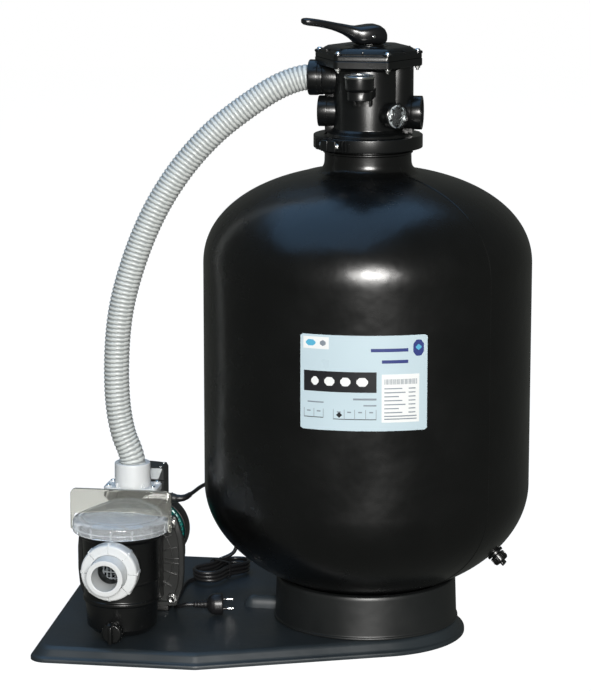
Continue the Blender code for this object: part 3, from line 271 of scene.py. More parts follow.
loop_length = HANK_RUN * 2 + 2 * math.pi * HANK_FOLD
first_turn = (math.pi * HANK_FOLD / 2 + HANK_RUN * 0.30) / loop_length
last_turn = 3 + (math.pi * HANK_FOLD / 2 + HANK_RUN) / loop_length
winding_steps = 108
winding = []
for step in range(winding_steps + 1):
    turns = first_turn + (last_turn - first_turn) * step / winding_steps
    winding.append(hank_point(turns, HANK_FLOOR + HANK_PITCH * (last_turn - turns)))
lead_route = smooth_route(LEAD_DOWN + winding + LEAD_TAIL, 0.004)
lead_curve = bpy.data.curves.new("mains_lead", "CURVE")
lead_curve.dimensions = "3D"
lead_curve.bevel_depth = LEAD_RADIUS
lead_curve.bevel_resolution = 5
lead_curve.use_fill_caps = True
spline = lead_curve.splines.new("POLY")
spline.points.add(len(lead_route) - 1)
for slot, point in zip(spline.points, lead_route):
    slot.co = (*point, 1.0)
sheath = moulded("cord_sheath", (0.010, 0.010, 0.011), 0.36, mottle=0.25, grain=0.00008, grain_size=0.0008)
lead_curve.materials.append(sheath)
lead = bpy.data.objects.new("mains_lead", lead_curve)
bpy.context.scene.collection.objects.link(lead)
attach(lead, "root")
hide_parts("power_cord", "cord_hank", "cord_tail")

BOOT_LENGTH = 0.032
boot_route = [p for p in lead_route if (p - lead_route[0]).length <= BOOT_LENGTH]
boot = bmesh.new()
boot_radii = []
for i in range(len(boot_route)):
    share = i / (len(boot_route) - 1)
    boot_radii.append(0.0066 - 0.0024 * share + (0.0004 if i % 2 else 0.0))
tube(boot, boot_route, boot_radii, sides=24)
boot = put("cord_boot", boot, "root", [sheath])

STRAP_WIDTH = 0.0048
STRAP_THICKNESS = 0.0012
strap_low, strap_high = 0.0256, 0.0570
strap_reach = HANK_FOLD - HANK_PINCH + LEAD_RADIUS + STRAP_THICKNESS
strap = bmesh.new()
strap_rings = []
for side in (-1, 1):
    for layer in (0.0, STRAP_THICKNESS):
        outline = []
        for corner_v, corner_z, first in ((1, 1, 0), (-1, 1, 90), (-1, -1, 180), (1, -1, 270)):
            radius = 0.007 - layer
            centre_v = corner_v * (strap_reach - 0.007)
            centre_z = (strap_high - 0.007) if corner_z > 0 else (strap_low + 0.007)
            for step in range(5):
                angle = math.radians(first + 90 * step / 4)
                outline.append((centre_v + radius * math.cos(angle), centre_z + radius * math.sin(angle)))
        strap_rings.append([strap.verts.new(HANK_PLACE + HANK_ALONG * side * STRAP_WIDTH / 2
                                            + HANK_ACROSS * v + Vector((0, 0, z))) for v, z in outline])
for low, high in ((0, 1), (1, 3), (3, 2), (2, 0)):
    for i in range(20):
        j = (i + 1) % 20
        strap.faces.new((strap_rings[low][i], strap_rings[low][j], strap_rings[high][j],
                         strap_rings[high][i]))
strap_tail = [HANK_PLACE + HANK_ACROSS * (strap_reach - 0.004 + 0.004 * i)
              + Vector((0, 0, 0.0560 - 0.0012 * i * i)) for i in range(5)]
tube(strap, strap_tail, [0.0018] * 5, sides=8)
strap = put("hank_strap", strap, "root", [sheath])

PLUG_REAR = Vector((-0.2960, -0.0560, 0.0450))
PLUG_AXIS = Vector((1.0, 0.22, 0.0)).normalized()
plug = bmesh.new()
relief = [(0.0, 0.0003), (0.0050, 0.0003)]
for rib in range(4):
    start = 0.002 + rib * 0.0055
    relief += [(0.0052 + rib * 0.0005, start), (0.0060 + rib * 0.0006, start + 0.0012),
               (0.0060 + rib * 0.0006, start + 0.0030), (0.0052 + rib * 0.0006, start + 0.0040)]
body_of_plug = relief + [(0.0080, 0.0245), (0.0120, 0.0262), (0.0165, 0.0310), (0.0186, 0.0370),
                         (0.0190, 0.0450), (0.0190, 0.0500), (0.0176, 0.0520), (0.0, 0.0520)]
lathe(plug, softened(body_of_plug, 0.0012), 48, PLUG_REAR, PLUG_AXIS)
plug_lean = Vector((0, -0.25, 1.0)).normalized()
for hand in (-1, 1):
    foot = PLUG_REAR + PLUG_AXIS * 0.0510 + plug_lean * hand * 0.0095
    lathe(plug, softened([(0, 0), (0.0026, 0), (0.0026, 0.008), (0.0024, 0.0082), (0, 0.0082)], 0.0003),
          20, foot, PLUG_AXIS)
    lathe(plug, softened([(0, 0.007), (0.0024, 0.007), (0.0024, 0.0190), (0.0012, 0.0201), (0, 0.0201)],
                         0.0006), 20, foot, PLUG_AXIS, finish=1)
bright_steel = moulded("bright_steel", (0.66, 0.66, 0.65), 0.22, mottle=0.08, haze=0.07, grain=0.00002,
                       metallic=1.0)
plug = put("plug_moulding", plug, "root", [sheath, bright_steel], ["mains_plug"])


# ---------------------------------------------------------------- plinth
# One vacuum-moulded plate of slate-dark plastic: a flat lip, a sloping side, a flat top with a raised
# rib for the lead, and ribs underneath. The tank's end is round and the pump's end is square.
PLINTH_LEFT, PLINTH_FRONT, PLINTH_BACK, PLINTH_NOSE = 0.545, 0.285, 0.337, 0.172
PLINTH_SHOULDER = -0.249
PLINTH_FLARE = 1.8
PLINTH_TOP = 0.025
PLINTH_CORNER = 0.030
slate = moulded("slate_plinth", (0.0200, 0.0270, 0.0325), 0.40, mottle=0.22, haze=0.07, grain=0.00010,
                grain_size=0.0016, peel=0.0003)


def rounded(corners, radius, steps):
    """Replace each corner of a convex outline by an arc of the given radius."""
    points = []
    for i, corner in enumerate(corners):
        corner = Vector(corner)
        back = (Vector(corners[i - 1]) - corner).normalized()
        ahead = (Vector(corners[(i + 1) % len(corners)]) - corner).normalized()
        half_angle = back.angle(ahead) / 2
        reach = radius / math.tan(half_angle)
        centre = corner + (back + ahead).normalized() * (radius / math.sin(half_angle))
        start, end = corner + back * reach - centre, corner + ahead * reach - centre
        for step in range(steps + 1):
            points.append(centre + start.slerp(end, step / steps).normalized() * radius)
    return points


def stack(bm, outlines, finish=0):
    """Skin a stack of equal-count outlines and cap the first and the last."""
    rings = [[bm.verts.new(point) for point in outline] for outline in outlines]
    for low, high in zip(rings, rings[1:]):
        for i in range(len(low)):
            j = (i + 1) % len(low)
            bm.faces.new((low[i], low[j], high[j], high[i])).material_index = finish
    bm.faces.new(rings[0]).material_index = finish
    bm.faces.new(rings[-1]).material_index = finish


def plinth_outline(inset, height):
    """The plinth's edge moved inwards, at one height."""
    nose = PLINTH_NOSE - inset
    front_turn = Vector((PLINTH_SHOULDER, -PLINTH_FRONT))
    back_turn = Vector((PLINTH_SHOULDER, PLINTH_BACK))
    slant_front = math.atan2(front_turn.y, front_turn.x) + math.acos(PLINTH_NOSE / front_turn.length)
    slant_back = math.atan2(back_turn.y, back_turn.x) - math.acos(PLINTH_NOSE / back_turn.length)
    edges = {
        "left": (math.radians(180 + PLINTH_FLARE), PLINTH_LEFT - inset),
        "front": (math.radians(-90), PLINTH_FRONT - inset),
        "slant_front": (slant_front, nose),
        "slant_back": (slant_back, nose),
        "back": (math.radians(90), PLINTH_BACK - inset),
    }

    def meet(first, second):
        (angle_a, far_a), (angle_b, far_b) = edges[first], edges[second]
        spread = math.sin(angle_b - angle_a)
        return ((far_a * math.sin(angle_b) - far_b * math.sin(angle_a)) / spread,
                (far_b * math.cos(angle_a) - far_a * math.cos(angle_b)) / spread)

    arc_steps, corner_steps = 72, 10
    arc = []
    for i in range(arc_steps + 1):
        angle = slant_front + (slant_back - slant_front) * i / arc_steps
        arc.append((nose * math.cos(angle), nose * math.sin(angle)))
    square = [meet("slant_back", "back"), meet("back", "left"), meet("left", "front"),
              meet("front", "slant_front")]
    corners = rounded([arc[-1]] + square + [arc[0]], PLINTH_CORNER, corner_steps)
    corners = corners[corner_steps + 1:-(corner_steps + 1)]
    return [(x, y, height) for x, y in arc] + [(p.x, p.y, height) for p in corners]


plinth_side = softened([(0.0, 0.0), (0.0, 0.0065), (0.0052, 0.0085), (0.0120, 0.0215), (0.0185, PLINTH_TOP),
                        (0.0300, PLINTH_TOP)], 0.0030, 5)
plinth = bmesh.new()
stack(plinth, [plinth_outline(inset, height) for inset, height in plinth_side])
pockets = bmesh.new()
POCKET_CELL, POCKET_WEB, POCKET_ROOF = 0.100, 0.010, 0.018
plinth_inside = plinth_outline(0.012, 0.0)
for column in range(-5, 2):
    for row in range(-3, 4):
        middle = Vector((column * POCKET_CELL, row * POCKET_CELL, 0))
        reach = (POCKET_CELL - POCKET_WEB) / 2
        corners = [middle + Vector((sx * reach, sy * reach, 0)) for sx in (-1, 1) for sy in (-1, 1)]
        inside = all((x2 - x1) * (c.y - y1) - (y2 - y1) * (c.x - x1) >= 0 for c in corners
                     for (x1, y1, _), (x2, y2, _) in zip(plinth_inside,
                                                         plinth_inside[1:] + plinth_inside[:1]))
        if inside and (column, row) != (0, 0):
            low = [(middle.x - reach, middle.y - reach), (middle.x + reach, middle.y - reach),
                   (middle.x + reach, middle.y + reach), (middle.x - reach, middle.y + reach)]
            stack(pockets, [[(x, y, height) for x, y in low] for height in (-0.002, POCKET_ROOF)])
plinth = put("plinth", plinth, "root", [slate], ["base_plate"], crease=50)


def carve(target, cutter):
    """Cut the closed bmesh of a cutter out of a piece for good."""
    bmesh.ops.recalc_face_normals(cutter, faces=cutter.faces)
    mesh = bpy.data.meshes.new("cutter")
    cutter.to_mesh(mesh)
    cutter.free()
    tool = bpy.data.objects.new("cutter", mesh)
    bpy.context.scene.collection.objects.link(tool)
    step = target.modifiers.new("carve", "BOOLEAN")
    step.operation = "DIFFERENCE"
    step.solver = "EXACT"
    step.object = tool
    graph = bpy.context.evaluated_depsgraph_get()
    cut_mesh = bpy.data.meshes.new_from_object(target.evaluated_get(graph))
    target.modifiers.clear()
    target.data = cut_mesh
    bpy.data.objects.remove(tool, do_unlink=True)


carve(plinth, pockets)

RIB_LOW_X, RIB_HIGH_X, RIB_Y, RIB_HALF, RIB_CROWN = -0.2190, -0.1575, 0.0200, 0.0135, 0.0470
rib = bmesh.new()
rib_rings = []
rib_steps, rib_sides = 14, 22
for i in range(rib_steps + 1):
    rounding = min(1.0, i / 7)
    swell = math.sqrt(1 - (1 - rounding) ** 2) if i else 0.05
    x = RIB_LOW_X + (RIB_HIGH_X - RIB_LOW_X) * (0.30 * i / 7 if i <= 7 else 0.30 + 0.70 * (i - 7) / 7)
    outline = []
    for k in range(rib_sides + 1):
        angle = math.pi * k / rib_sides
        y = RIB_Y - RIB_HALF * swell * math.cos(angle)
        z = PLINTH_TOP - 0.001 + (RIB_CROWN - PLINTH_TOP) * swell * math.sin(angle) ** 0.75
        outline.append((x, y, z))
    rib_rings.append(outline)
stack(rib, rib_rings)
put("plinth_rib", rib, "root", [slate])


# ---------------------------------------------------------------- tank's foot
# Conical ring of the same blow-moulded black plastic as the tank, with a small bead round its bottom
# and a rolled top edge that carries the tank's bowl.
tank_black = moulded("tank_black", (0.0034, 0.0036, 0.0036), 0.27, mottle=0.25, haze=0.05, grain=0.00006,
                     grain_size=0.0018, peel=0.0006)
foot_black = moulded("foot_black", (0.0095, 0.0108, 0.0112), 0.40, mottle=0.25, haze=0.06, grain=0.00008,
                     grain_size=0.0014, peel=0.0004)
foot = bmesh.new()
lathe(foot, softened([(0.1600, 0.0253), (0.1600, 0.0290), (0.1578, 0.0305), (0.1555, 0.0950),
                      (0.1540, 0.1000), (0.1420, 0.1003), (0.1385, 0.0960), (0.1430, 0.0253)],
                     0.0022, 4, ring=True), 160, ring=True)
foot = put("tank_foot_ring", foot, "root", [foot_black], ["tank_foot"])


# ---------------------------------------------------------------- tank
# Pressure vessel of wound and moulded black plastic: an elliptical bowl, a straight wall, a domed top
# and a flanged neck, with one faint mould line up each side.
TANK_RADIUS, TANK_HIP, TANK_SHOULDER = 0.280, 0.266, 0.649
BOWL_DROP, DOME_RISE, DOME_POWER = 0.190, 0.163, 2.15
NECK_RADIUS, NECK_BORE, NECK_TOP, NECK_FLANGE = 0.0735, 0.0620, 0.857, 0.0876
TANK_WALL = 0.005


def bowl_line(wall, steps):
    """Points of the bowl from its lowest point out to the straight wall."""
    wide, deep = TANK_RADIUS - wall, BOWL_DROP - wall
    return [(wide * math.sin(math.pi / 2 * i / steps), TANK_HIP - deep * math.cos(math.pi / 2 * i / steps))
            for i in range(steps + 1)]


def dome_line(wall, stop_radius, steps):
    """Points of the dome from the straight wall in to a radius."""
    wide, tall = TANK_RADIUS - wall, DOME_RISE - wall
    stop = math.acos((stop_radius / wide) ** (DOME_POWER / 2))
    return [(wide * math.cos(stop * i / steps) ** (2 / DOME_POWER),
             TANK_SHOULDER + tall * math.sin(stop * i / steps) ** (2 / DOME_POWER))
            for i in range(1, steps + 1)]


wall_steps = 12
tank_outside = bowl_line(0.0, 44)
tank_outside += [(TANK_RADIUS, TANK_HIP + (TANK_SHOULDER - TANK_HIP) * i / wall_steps)
                 for i in range(1, wall_steps + 1)]
tank_outside += dome_line(0.0, NECK_RADIUS + 0.012, 52)
neck = softened([tank_outside[-1], (NECK_RADIUS + 0.0005, 0.8150), (NECK_RADIUS, 0.8375)], 0.010, 8)[1:-1]
neck += softened([(NECK_RADIUS, 0.8375), (0.0762, 0.8390), (0.0762, 0.8418), (NECK_RADIUS, 0.8433),
                  (NECK_RADIUS, 0.8505), (NECK_FLANGE, 0.8512), (NECK_FLANGE, NECK_TOP),
                  (NECK_BORE, NECK_TOP), (NECK_BORE, 0.812)], 0.0008, 3)
tank_inside = dome_line(TANK_WALL, NECK_BORE + 0.006, 20)[::-1]
tank_inside += [(TANK_RADIUS - TANK_WALL, TANK_SHOULDER)] + bowl_line(TANK_WALL, 20)[::-1]
tank = bmesh.new()
lathe(tank, tank_outside + neck + tank_inside, 192)
tank = put("tank_vessel", tank, "root", [tank_black], ["tank_shell"], crease=32)

MOULD_LINE_ANGLES = (-36.0, 144.0)
MOULD_LINE_HEIGHT = 0.00055
mould_line = bmesh.new()
for angle in MOULD_LINE_ANGLES:
    around = math.radians(angle)
    line = [Vector(((r - 0.0006) * math.cos(around), (r - 0.0006) * math.sin(around), z))
            for r, z in tank_outside[16:] + neck[:6]]
    tube(mould_line, line, [0.0006 + MOULD_LINE_HEIGHT] * len(line), sides=8)
put("mould_line", mould_line, "root", [tank_black])


# ---------------------------------------------------------------- tank's label
# Printed self-adhesive sheet wrapped round the front of the tank: a pale ground with a dark title
# block, a small data table and a white sticker, all as plain bars and blocks without lettering.
LABEL_FIRST, LABEL_LAST = -105.15, -61.9
LABEL_LOW, LABEL_HIGH = 0.4184, 0.5768
LABEL_LIFT = 0.00035
label_ground = moulded("label_ground", (0.52, 0.64, 0.70), 0.30, mottle=0.03, haze=0.04, grain=0.00003)
label_black = moulded("label_black", (0.012, 0.013, 0.016), 0.30, mottle=0.1, grain=0.00003)
label_navy = moulded("label_navy", (0.035, 0.050, 0.200), 0.30, mottle=0.1, grain=0.00003)
label_cyan = moulded("label_cyan", (0.10, 0.42, 0.62), 0.30, mottle=0.1, grain=0.00003)
label_white = moulded("label_white", (0.80, 0.82, 0.82), 0.42, mottle=0.04, grain=0.00003)
label_grey = moulded("label_grey", (0.22, 0.26, 0.30), 0.35, mottle=0.1, grain=0.00003)
label = bmesh.new()


def printed(left, right, low, high, layer, finish, rounding=0.0):
    """A patch on the tank's wall. Places are shares of the label's width and height."""
    width = math.radians(LABEL_LAST - LABEL_FIRST) * TANK_RADIUS
    tall = LABEL_HIGH - LABEL_LOW
    radius = TANK_RADIUS + LABEL_LIFT + 0.00012 * layer
    steps = max(2, round((right - left) * 48))
    corner = rounding / tall
    columns = []
    for i in range(steps + 1):
        share = i / steps
        across = left + (right - left) * share
        edge = min(share, 1 - share) * (right - left) * width
        pull = 0.0
        if edge < rounding:
            pull = corner * (1 - math.sqrt(max(0.0, 1 - (1 - edge / rounding) ** 2)))
        angle = math.radians(LABEL_FIRST + (LABEL_LAST - LABEL_FIRST) * across)
        column = []
        for share_up, depth in ((low + pull, 0), (high - pull, 0), (high - pull, 1), (low + pull, 1)):
            r = radius - depth * 0.0006
            column.append(label.verts.new((r * math.cos(angle), r * math.sin(angle),
                                           LABEL_LOW + tall * share_up)))
        columns.append(column)
    for before, after in zip(columns, columns[1:]):
        for k in range(4):
            j = (k + 1) % 4
            label.faces.new((before[k], after[k], after[j], before[j])).material_index = finish
    label.faces.new(columns[0]).material_index = finish
    label.faces.new(columns[-1]).material_index = finish


GROUND, BLACK, NAVY, CYAN, WHITE, GREY = range(6)
printed(0.0, 1.0, 0.0, 1.0, 0, GROUND, rounding=0.003)
printed(0.030, 0.600, 0.405, 0.620, 1, BLACK)
for left, right in ((0.090, 0.150), (0.195, 0.275), (0.320, 0.400), (0.445, 0.535)):
    printed(left, right, 0.470, 0.560, 2, WHITE, rounding=0.005)
printed(0.885, 0.970, 0.780, 0.950, 1, NAVY, rounding=0.007)
printed(0.905, 0.950, 0.840, 0.905, 2, CYAN, rounding=0.004)
printed(0.555, 0.845, 0.830, 0.865, 1, NAVY)
printed(0.640, 0.845, 0.710, 0.745, 1, NAVY)
printed(0.025, 0.230, 0.850, 0.975, 1, WHITE)
printed(0.045, 0.125, 0.880, 0.945, 2, CYAN, rounding=0.004)
printed(0.160, 0.205, 0.880, 0.945, 2, GREY, rounding=0.003)
printed(0.640, 0.935, 0.090, 0.595, 1, WHITE)
for bar in range(26):
    left = 0.660 + bar * 0.0100
    printed(left, left + (0.0060 if bar % 3 else 0.0035), 0.490, 0.545, 2, GREY)
for line in range(7):
    printed(0.660, 0.800 + 0.030 * math.sin(line * 2.1), 0.440 - line * 0.042, 0.452 - line * 0.042, 2,
            GREY)
    printed(0.850, 0.905, 0.440 - line * 0.042, 0.452 - line * 0.042, 2, GREY)
for height in (0.120, 0.150):
    printed(0.660, 0.915, height, height + 0.012, 2, GREY)
printed(0.420, 0.600, 0.325, 0.345, 1, GREY)
printed(0.500, 0.600, 0.262, 0.276, 1, GREY)
printed(0.060, 0.190, 0.285, 0.299, 1, GREY)
printed(0.030, 0.185, 0.128, 0.136, 1, BLACK)
printed(0.265, 0.600, 0.118, 0.126, 1, BLACK)
for column in (0.030, 0.110, 0.185):
    printed(column, column + 0.004, 0.128, 0.225, 1, GREY)
for column in (0.265, 0.350, 0.430, 0.515, 0.596):
    printed(column, column + 0.004, 0.120, 0.225, 1, GREY)
for column in (0.055, 0.135, 0.295, 0.375, 0.460, 0.545):
    printed(column, column + 0.030, 0.190, 0.204, 1, GREY)
printed(0.288, 0.336, 0.135, 0.197, 2, BLACK, rounding=0.0048)
put("tank_label", label, "root", [label_ground, label_black, label_navy, label_cyan, label_white,
                                  label_grey])


# ---------------------------------------------------------------- tank's drain
# Small threaded spigot low on the bowl with a screw cap that has grip ribs and a winged top; the
# sealing ring sits between them.
DRAIN_ANGLE, DRAIN_LATITUDE = math.radians(-7.0), math.radians(35.8)
drain_radius = TANK_RADIUS * math.cos(DRAIN_LATITUDE)
drain_height = TANK_HIP - BOWL_DROP * math.sin(DRAIN_LATITUDE)
drain_out = Vector((drain_radius / TANK_RADIUS ** 2, 0.0, (drain_height - TANK_HIP) / BOWL_DROP ** 2))
drain_out = Matrix.Rotation(DRAIN_ANGLE, 3, "Z") @ drain_out.normalized()
drain_place = Vector((drain_radius * math.cos(DRAIN_ANGLE), drain_radius * math.sin(DRAIN_ANGLE),
                      drain_height))
valve_black = moulded("valve_black", (0.0045, 0.0050, 0.0052), 0.27, mottle=0.22, haze=0.06, grain=0.00007,
                      grain_size=0.0009)
rubber_black = moulded("rubber_black", (0.012, 0.012, 0.012), 0.62, mottle=0.2, grain=0.00006)


def round_box(bm, low, high, edge, steps=3, turn=None, finish=0):
    """A box between two corners with its edges rounded, optionally turned into place."""
    made = bmesh.ops.create_cube(bm, size=1.0)["verts"]
    middle = (Vector(high) + Vector(low)) / 2
    bmesh.ops.scale(bm, vec=Vector(high) - Vector(low), verts=made)
    bmesh.ops.translate(bm, vec=middle, verts=made)
    edges = {e for v in made for e in v.link_edges}
    faces = {f for v in made for f in v.link_faces}
    eased = bmesh.ops.bevel(bm, geom=list(edges), offset=edge, segments=steps, affect="EDGES", profile=0.5)
    faces = {f for f in faces if f.is_valid} | set(eased["faces"])
    verts = {v for f in faces for v in f.verts}
    if turn is not None:
        bmesh.ops.transform(bm, matrix=turn, verts=list(verts))
    for face in faces:
        face.material_index = finish


def facing(place, towards):
    """The matrix that puts a drawn piece at a place with its Z along a direction."""
    turn = Vector(towards).to_track_quat("Z", "Y").to_matrix().to_4x4()
    return Matrix.Translation(Vector(place)) @ turn


spigot = bmesh.new()
lathe(spigot, softened([(0.0055, -0.013), (0.0140, -0.013), (0.0140, -0.0085), (0.0098, -0.0085),
                        (0.0098, 0.0006), (0.0150, 0.0006), (0.0150, 0.0050), (0.0088, 0.0055),
                        (0.0088, 0.0165), (0.0055, 0.0165)], 0.0006, ring=True), 40, drain_place, drain_out,
      ring=True)
spigot = put("drain_spigot", spigot, "root", [valve_black], ["tank_drain_spigot"])
cap = bmesh.new()
lathe(cap, softened([(0, 0.0183), (0.0091, 0.0183), (0.0091, 0.0066), (0.0126, 0.0066), (0.0130, 0.0190),
                     (0.0115, 0.0215), (0, 0.0215)], 0.0008), 48, drain_place, drain_out)
for number in range(14):
    turn = facing(drain_place, drain_out) @ Matrix.Rotation(2 * math.pi * number / 14, 4, "Z")
    round_box(cap, (0.0120, -0.0009, 0.0075), (0.0137, 0.0009, 0.0185), 0.0004, 2, turn)
round_box(cap, (-0.0105, -0.0022, 0.0200), (0.0105, 0.0022, 0.0280), 0.0014, 3,
          facing(drain_place, drain_out))
cap = put("drain_cap", cap, "tank_cap", [valve_black], ["tank_drain_cap"])


# ---------------------------------------------------------------- neck clamp
# Two channel-section half rings of black moulded plastic round the tank's flange and the valve's,
# pulled together by a steel bolt at each side; ribs stiffen the ends beside each bolt.
CLAMP_ANGLE = 237.0
CLAMP_RADIUS, CLAMP_LOW, CLAMP_HIGH = 0.0925, 0.8475, 0.8690
BOLT_RADIUS, BOLT_HEIGHT = 0.0975, 0.8582
clamp_section = softened([(CLAMP_RADIUS, CLAMP_LOW), (CLAMP_RADIUS, CLAMP_HIGH), (0.0742, CLAMP_HIGH),
                          (0.0742, 0.8672), (0.0884, 0.8668), (0.0884, 0.8502), (0.0742, 0.8502),
                          (0.0742, CLAMP_LOW)], 0.0016, 4, ring=True)
clamp_ends = {"left": CLAMP_ANGLE, "right": CLAMP_ANGLE - 180}
for side, first in (("front", CLAMP_ANGLE + 1), ("rear", CLAMP_ANGLE - 179)):
    half = bmesh.new()
    lathe(half, clamp_section, 90, sweep=(first, first + 178.0), ring=True)
    for end, angle in clamp_ends.items():
        toward = 1 if (side == "front") == (end == "left") else -1
        turn = Matrix.Rotation(math.radians(angle), 4, "Z")
        low, high = sorted((toward * 0.0012, toward * 0.0165))
        round_box(half, (0.0895, low, 0.8488), (0.1040, high, 0.8677), 0.0016, 3, turn)
        for rib_number in range(3):
            along = toward * (0.0215 + 0.0055 * rib_number)
            round_box(half, (0.0895, along - 0.0010, CLAMP_LOW + 0.002),
                      (0.1005 - 0.0022 * rib_number, along + 0.0010, CLAMP_HIGH - 0.002), 0.0006, 2, turn)
    half = put(f"clamp_ring_{side}", half, "root", [valve_black], [f"clamp_half_{side}"])


def hexagon_head(bm, across, height, place, towards, dish=0.0, finish=0):
    """Hexagon head or nut with its corners turned off, along a direction."""
    matrix = facing(place, towards)
    rings = []
    for inset, level in ((0.0, 0.0), (0.0, height - 0.0006), (0.0007, height)):
        corner = (across / 2 - inset) / math.cos(math.pi / 6)
        rings.append([matrix @ Vector((corner * math.cos(math.pi * k / 3),
                                       corner * math.sin(math.pi * k / 3), level)) for k in range(6)])
    if dish:
        rings.append([matrix @ Vector((across * 0.26 * math.cos(math.pi * k / 3),
                                       across * 0.26 * math.sin(math.pi * k / 3), height - dish))
                      for k in range(6)])
    stack(bm, rings, finish)


for end, angle in clamp_ends.items():
    bolt = bmesh.new()
    turn = math.radians(angle)
    middle = Vector((BOLT_RADIUS * math.cos(turn), BOLT_RADIUS * math.sin(turn), BOLT_HEIGHT))
    along = Vector((-math.sin(turn), math.cos(turn), 0))
    lathe(bolt, softened([(0, -0.0206), (0.0028, -0.0206), (0.0028, 0.0212), (0, 0.0212)], 0.0004), 24,
          middle,
          along)
    lathe(bolt, softened([(0.0029, 0.0167), (0.0062, 0.0167), (0.0062, 0.0176), (0.0029, 0.0176)], 0.0003,
                         ring=True), 32, middle, along, ring=True)
    lathe(bolt, softened([(0.0, 0.0176), (0.0052, 0.0176), (0.0052, 0.0196), (0.0040, 0.0210),
                          (0.0022, 0.0212), (0.0022, 0.0198), (0.0, 0.0198)], 0.0005), 32, middle, along)
    hexagon_head(bolt, 0.0100, 0.0036, middle - along * 0.0170, -along)
    bolt = put(f"clamp_screw_{end}", bolt, "root", [bright_steel], [f"clamp_bolt_{end}"])


# ---------------------------------------------------------------- valve body
# One black ABS moulding: a round chamber with a bulging waste passage, a six-cornered flange for the
# cover, four ports and a boss for the gauge. It sits in the tank's neck by its foot flange.
def along_x(angle, height):
    """The matrix that lays a drawn piece's Z outwards at an angle round the tank, at a height."""
    around = math.radians(angle)
    return (Vector((0, 0, height)), Vector((math.cos(around), math.sin(around), 0)))


def hexagon(corner_radius, rounding, height, steps=8):
    """A six-cornered outline with corners at 0, 60, ... degrees and rounded ends."""
    corners = [(corner_radius * math.cos(math.radians(60 * k)),
                corner_radius * math.sin(math.radians(60 * k)))
               for k in range(6)]
    return [Vector((p.x, p.y, height)) for p in rounded(corners, rounding, steps)]


def onto_circle(outline, radius, height):
    """The outline's points moved onto a circle at a height."""
    points = []
    for p in outline:
        around = math.atan2(p[1], p[0])
        points.append(Vector((radius * math.cos(around), radius * math.sin(around), height)))
    return points


def loop_stack(bm, outlines, finish=0):
    """Skin a closed loop of equal-count outlines, as a plate with a hole in it."""
    rings = [[bm.verts.new(point) for point in outline] for outline in outlines]
    for low, high in zip(rings, rings[1:] + rings[:1]):
        for i in range(len(low)):
            j = (i + 1) % len(low)
            bm.faces.new((low[i], low[j], high[j], high[i])).material_index = finish


VALVE_RADIUS, VALVE_BORE, VALVE_FOOT, VALVE_TOP = 0.0585, 0.0530, 0.0876, 0.9987
PUMP_PORT_HEIGHT, LOW_PORT_HEIGHT = 0.963, 0.9065
FLANGE_LOW, FLANGE_CORNER, FLANGE_ROUNDING = 0.9865, 0.0925, 0.0105
valve = bmesh.new()
chamber = softened([(VALVE_FOOT, 0.8590), (VALVE_FOOT, 0.8661), (0.0705, 0.8668), (0.0685, 0.8720),
                    (0.0615, 0.8762), (VALVE_RADIUS, 0.8800), (VALVE_RADIUS, 0.9900),
                    (VALVE_BORE, 0.9900), (VALVE_BORE, 0.8830), (0.0600, 0.8740), (0.0600, 0.8590)],
                   0.0012, 3, ring=True)
lathe(valve, chamber, 144, ring=True)
plate = [(0.0010, FLANGE_LOW), (0.0, FLANGE_LOW + 0.0010), (0.0, VALVE_TOP - 0.0008), (0.0008, VALVE_TOP)]
flange = [hexagon(FLANGE_CORNER - inset, FLANGE_ROUNDING, height) for inset, height in plate]
flange += [onto_circle(flange[0], VALVE_BORE, VALVE_TOP), onto_circle(flange[0], VALVE_BORE, FLANGE_LOW)]
loop_stack(valve, flange)
SKIRT_LOW = 0.9800
skirt = [hexagon(corner, 0.0120, height)
         for corner, height in ((0.0690, SKIRT_LOW), (0.0740, SKIRT_LOW + 0.0035), (0.0770, 0.9875))]
skirt += [onto_circle(skirt[0], VALVE_BORE, 0.9875), onto_circle(skirt[0], VALVE_BORE, SKIRT_LOW)]
loop_stack(valve, skirt)

valve = put("valve_chamber", valve, "root", [valve_black], ["valve_body"])

BULGE_MIDDLE, BULGE_RADIUS, BULGE_LOW, BULGE_HIGH = 0.0465, 0.0300, 0.9000, 0.9880
bulge = bmesh.new()
lathe(bulge, softened([(0.0, BULGE_LOW), (BULGE_RADIUS - 0.006, BULGE_LOW),
                       (BULGE_RADIUS, BULGE_LOW + 0.012),
                       (BULGE_RADIUS, BULGE_HIGH), (0.0, BULGE_HIGH)], 0.004, 5), 72, (BULGE_MIDDLE, 0, 0))
bulge = put("waste_passage", bulge, "root", [valve_black])
chamber_room = bmesh.new()
lathe(chamber_room, [(0.0, 0.8700), (VALVE_BORE, 0.8700), (VALVE_BORE, 1.0100), (0.0, 1.0100)], 144)
carve(bulge, chamber_room)

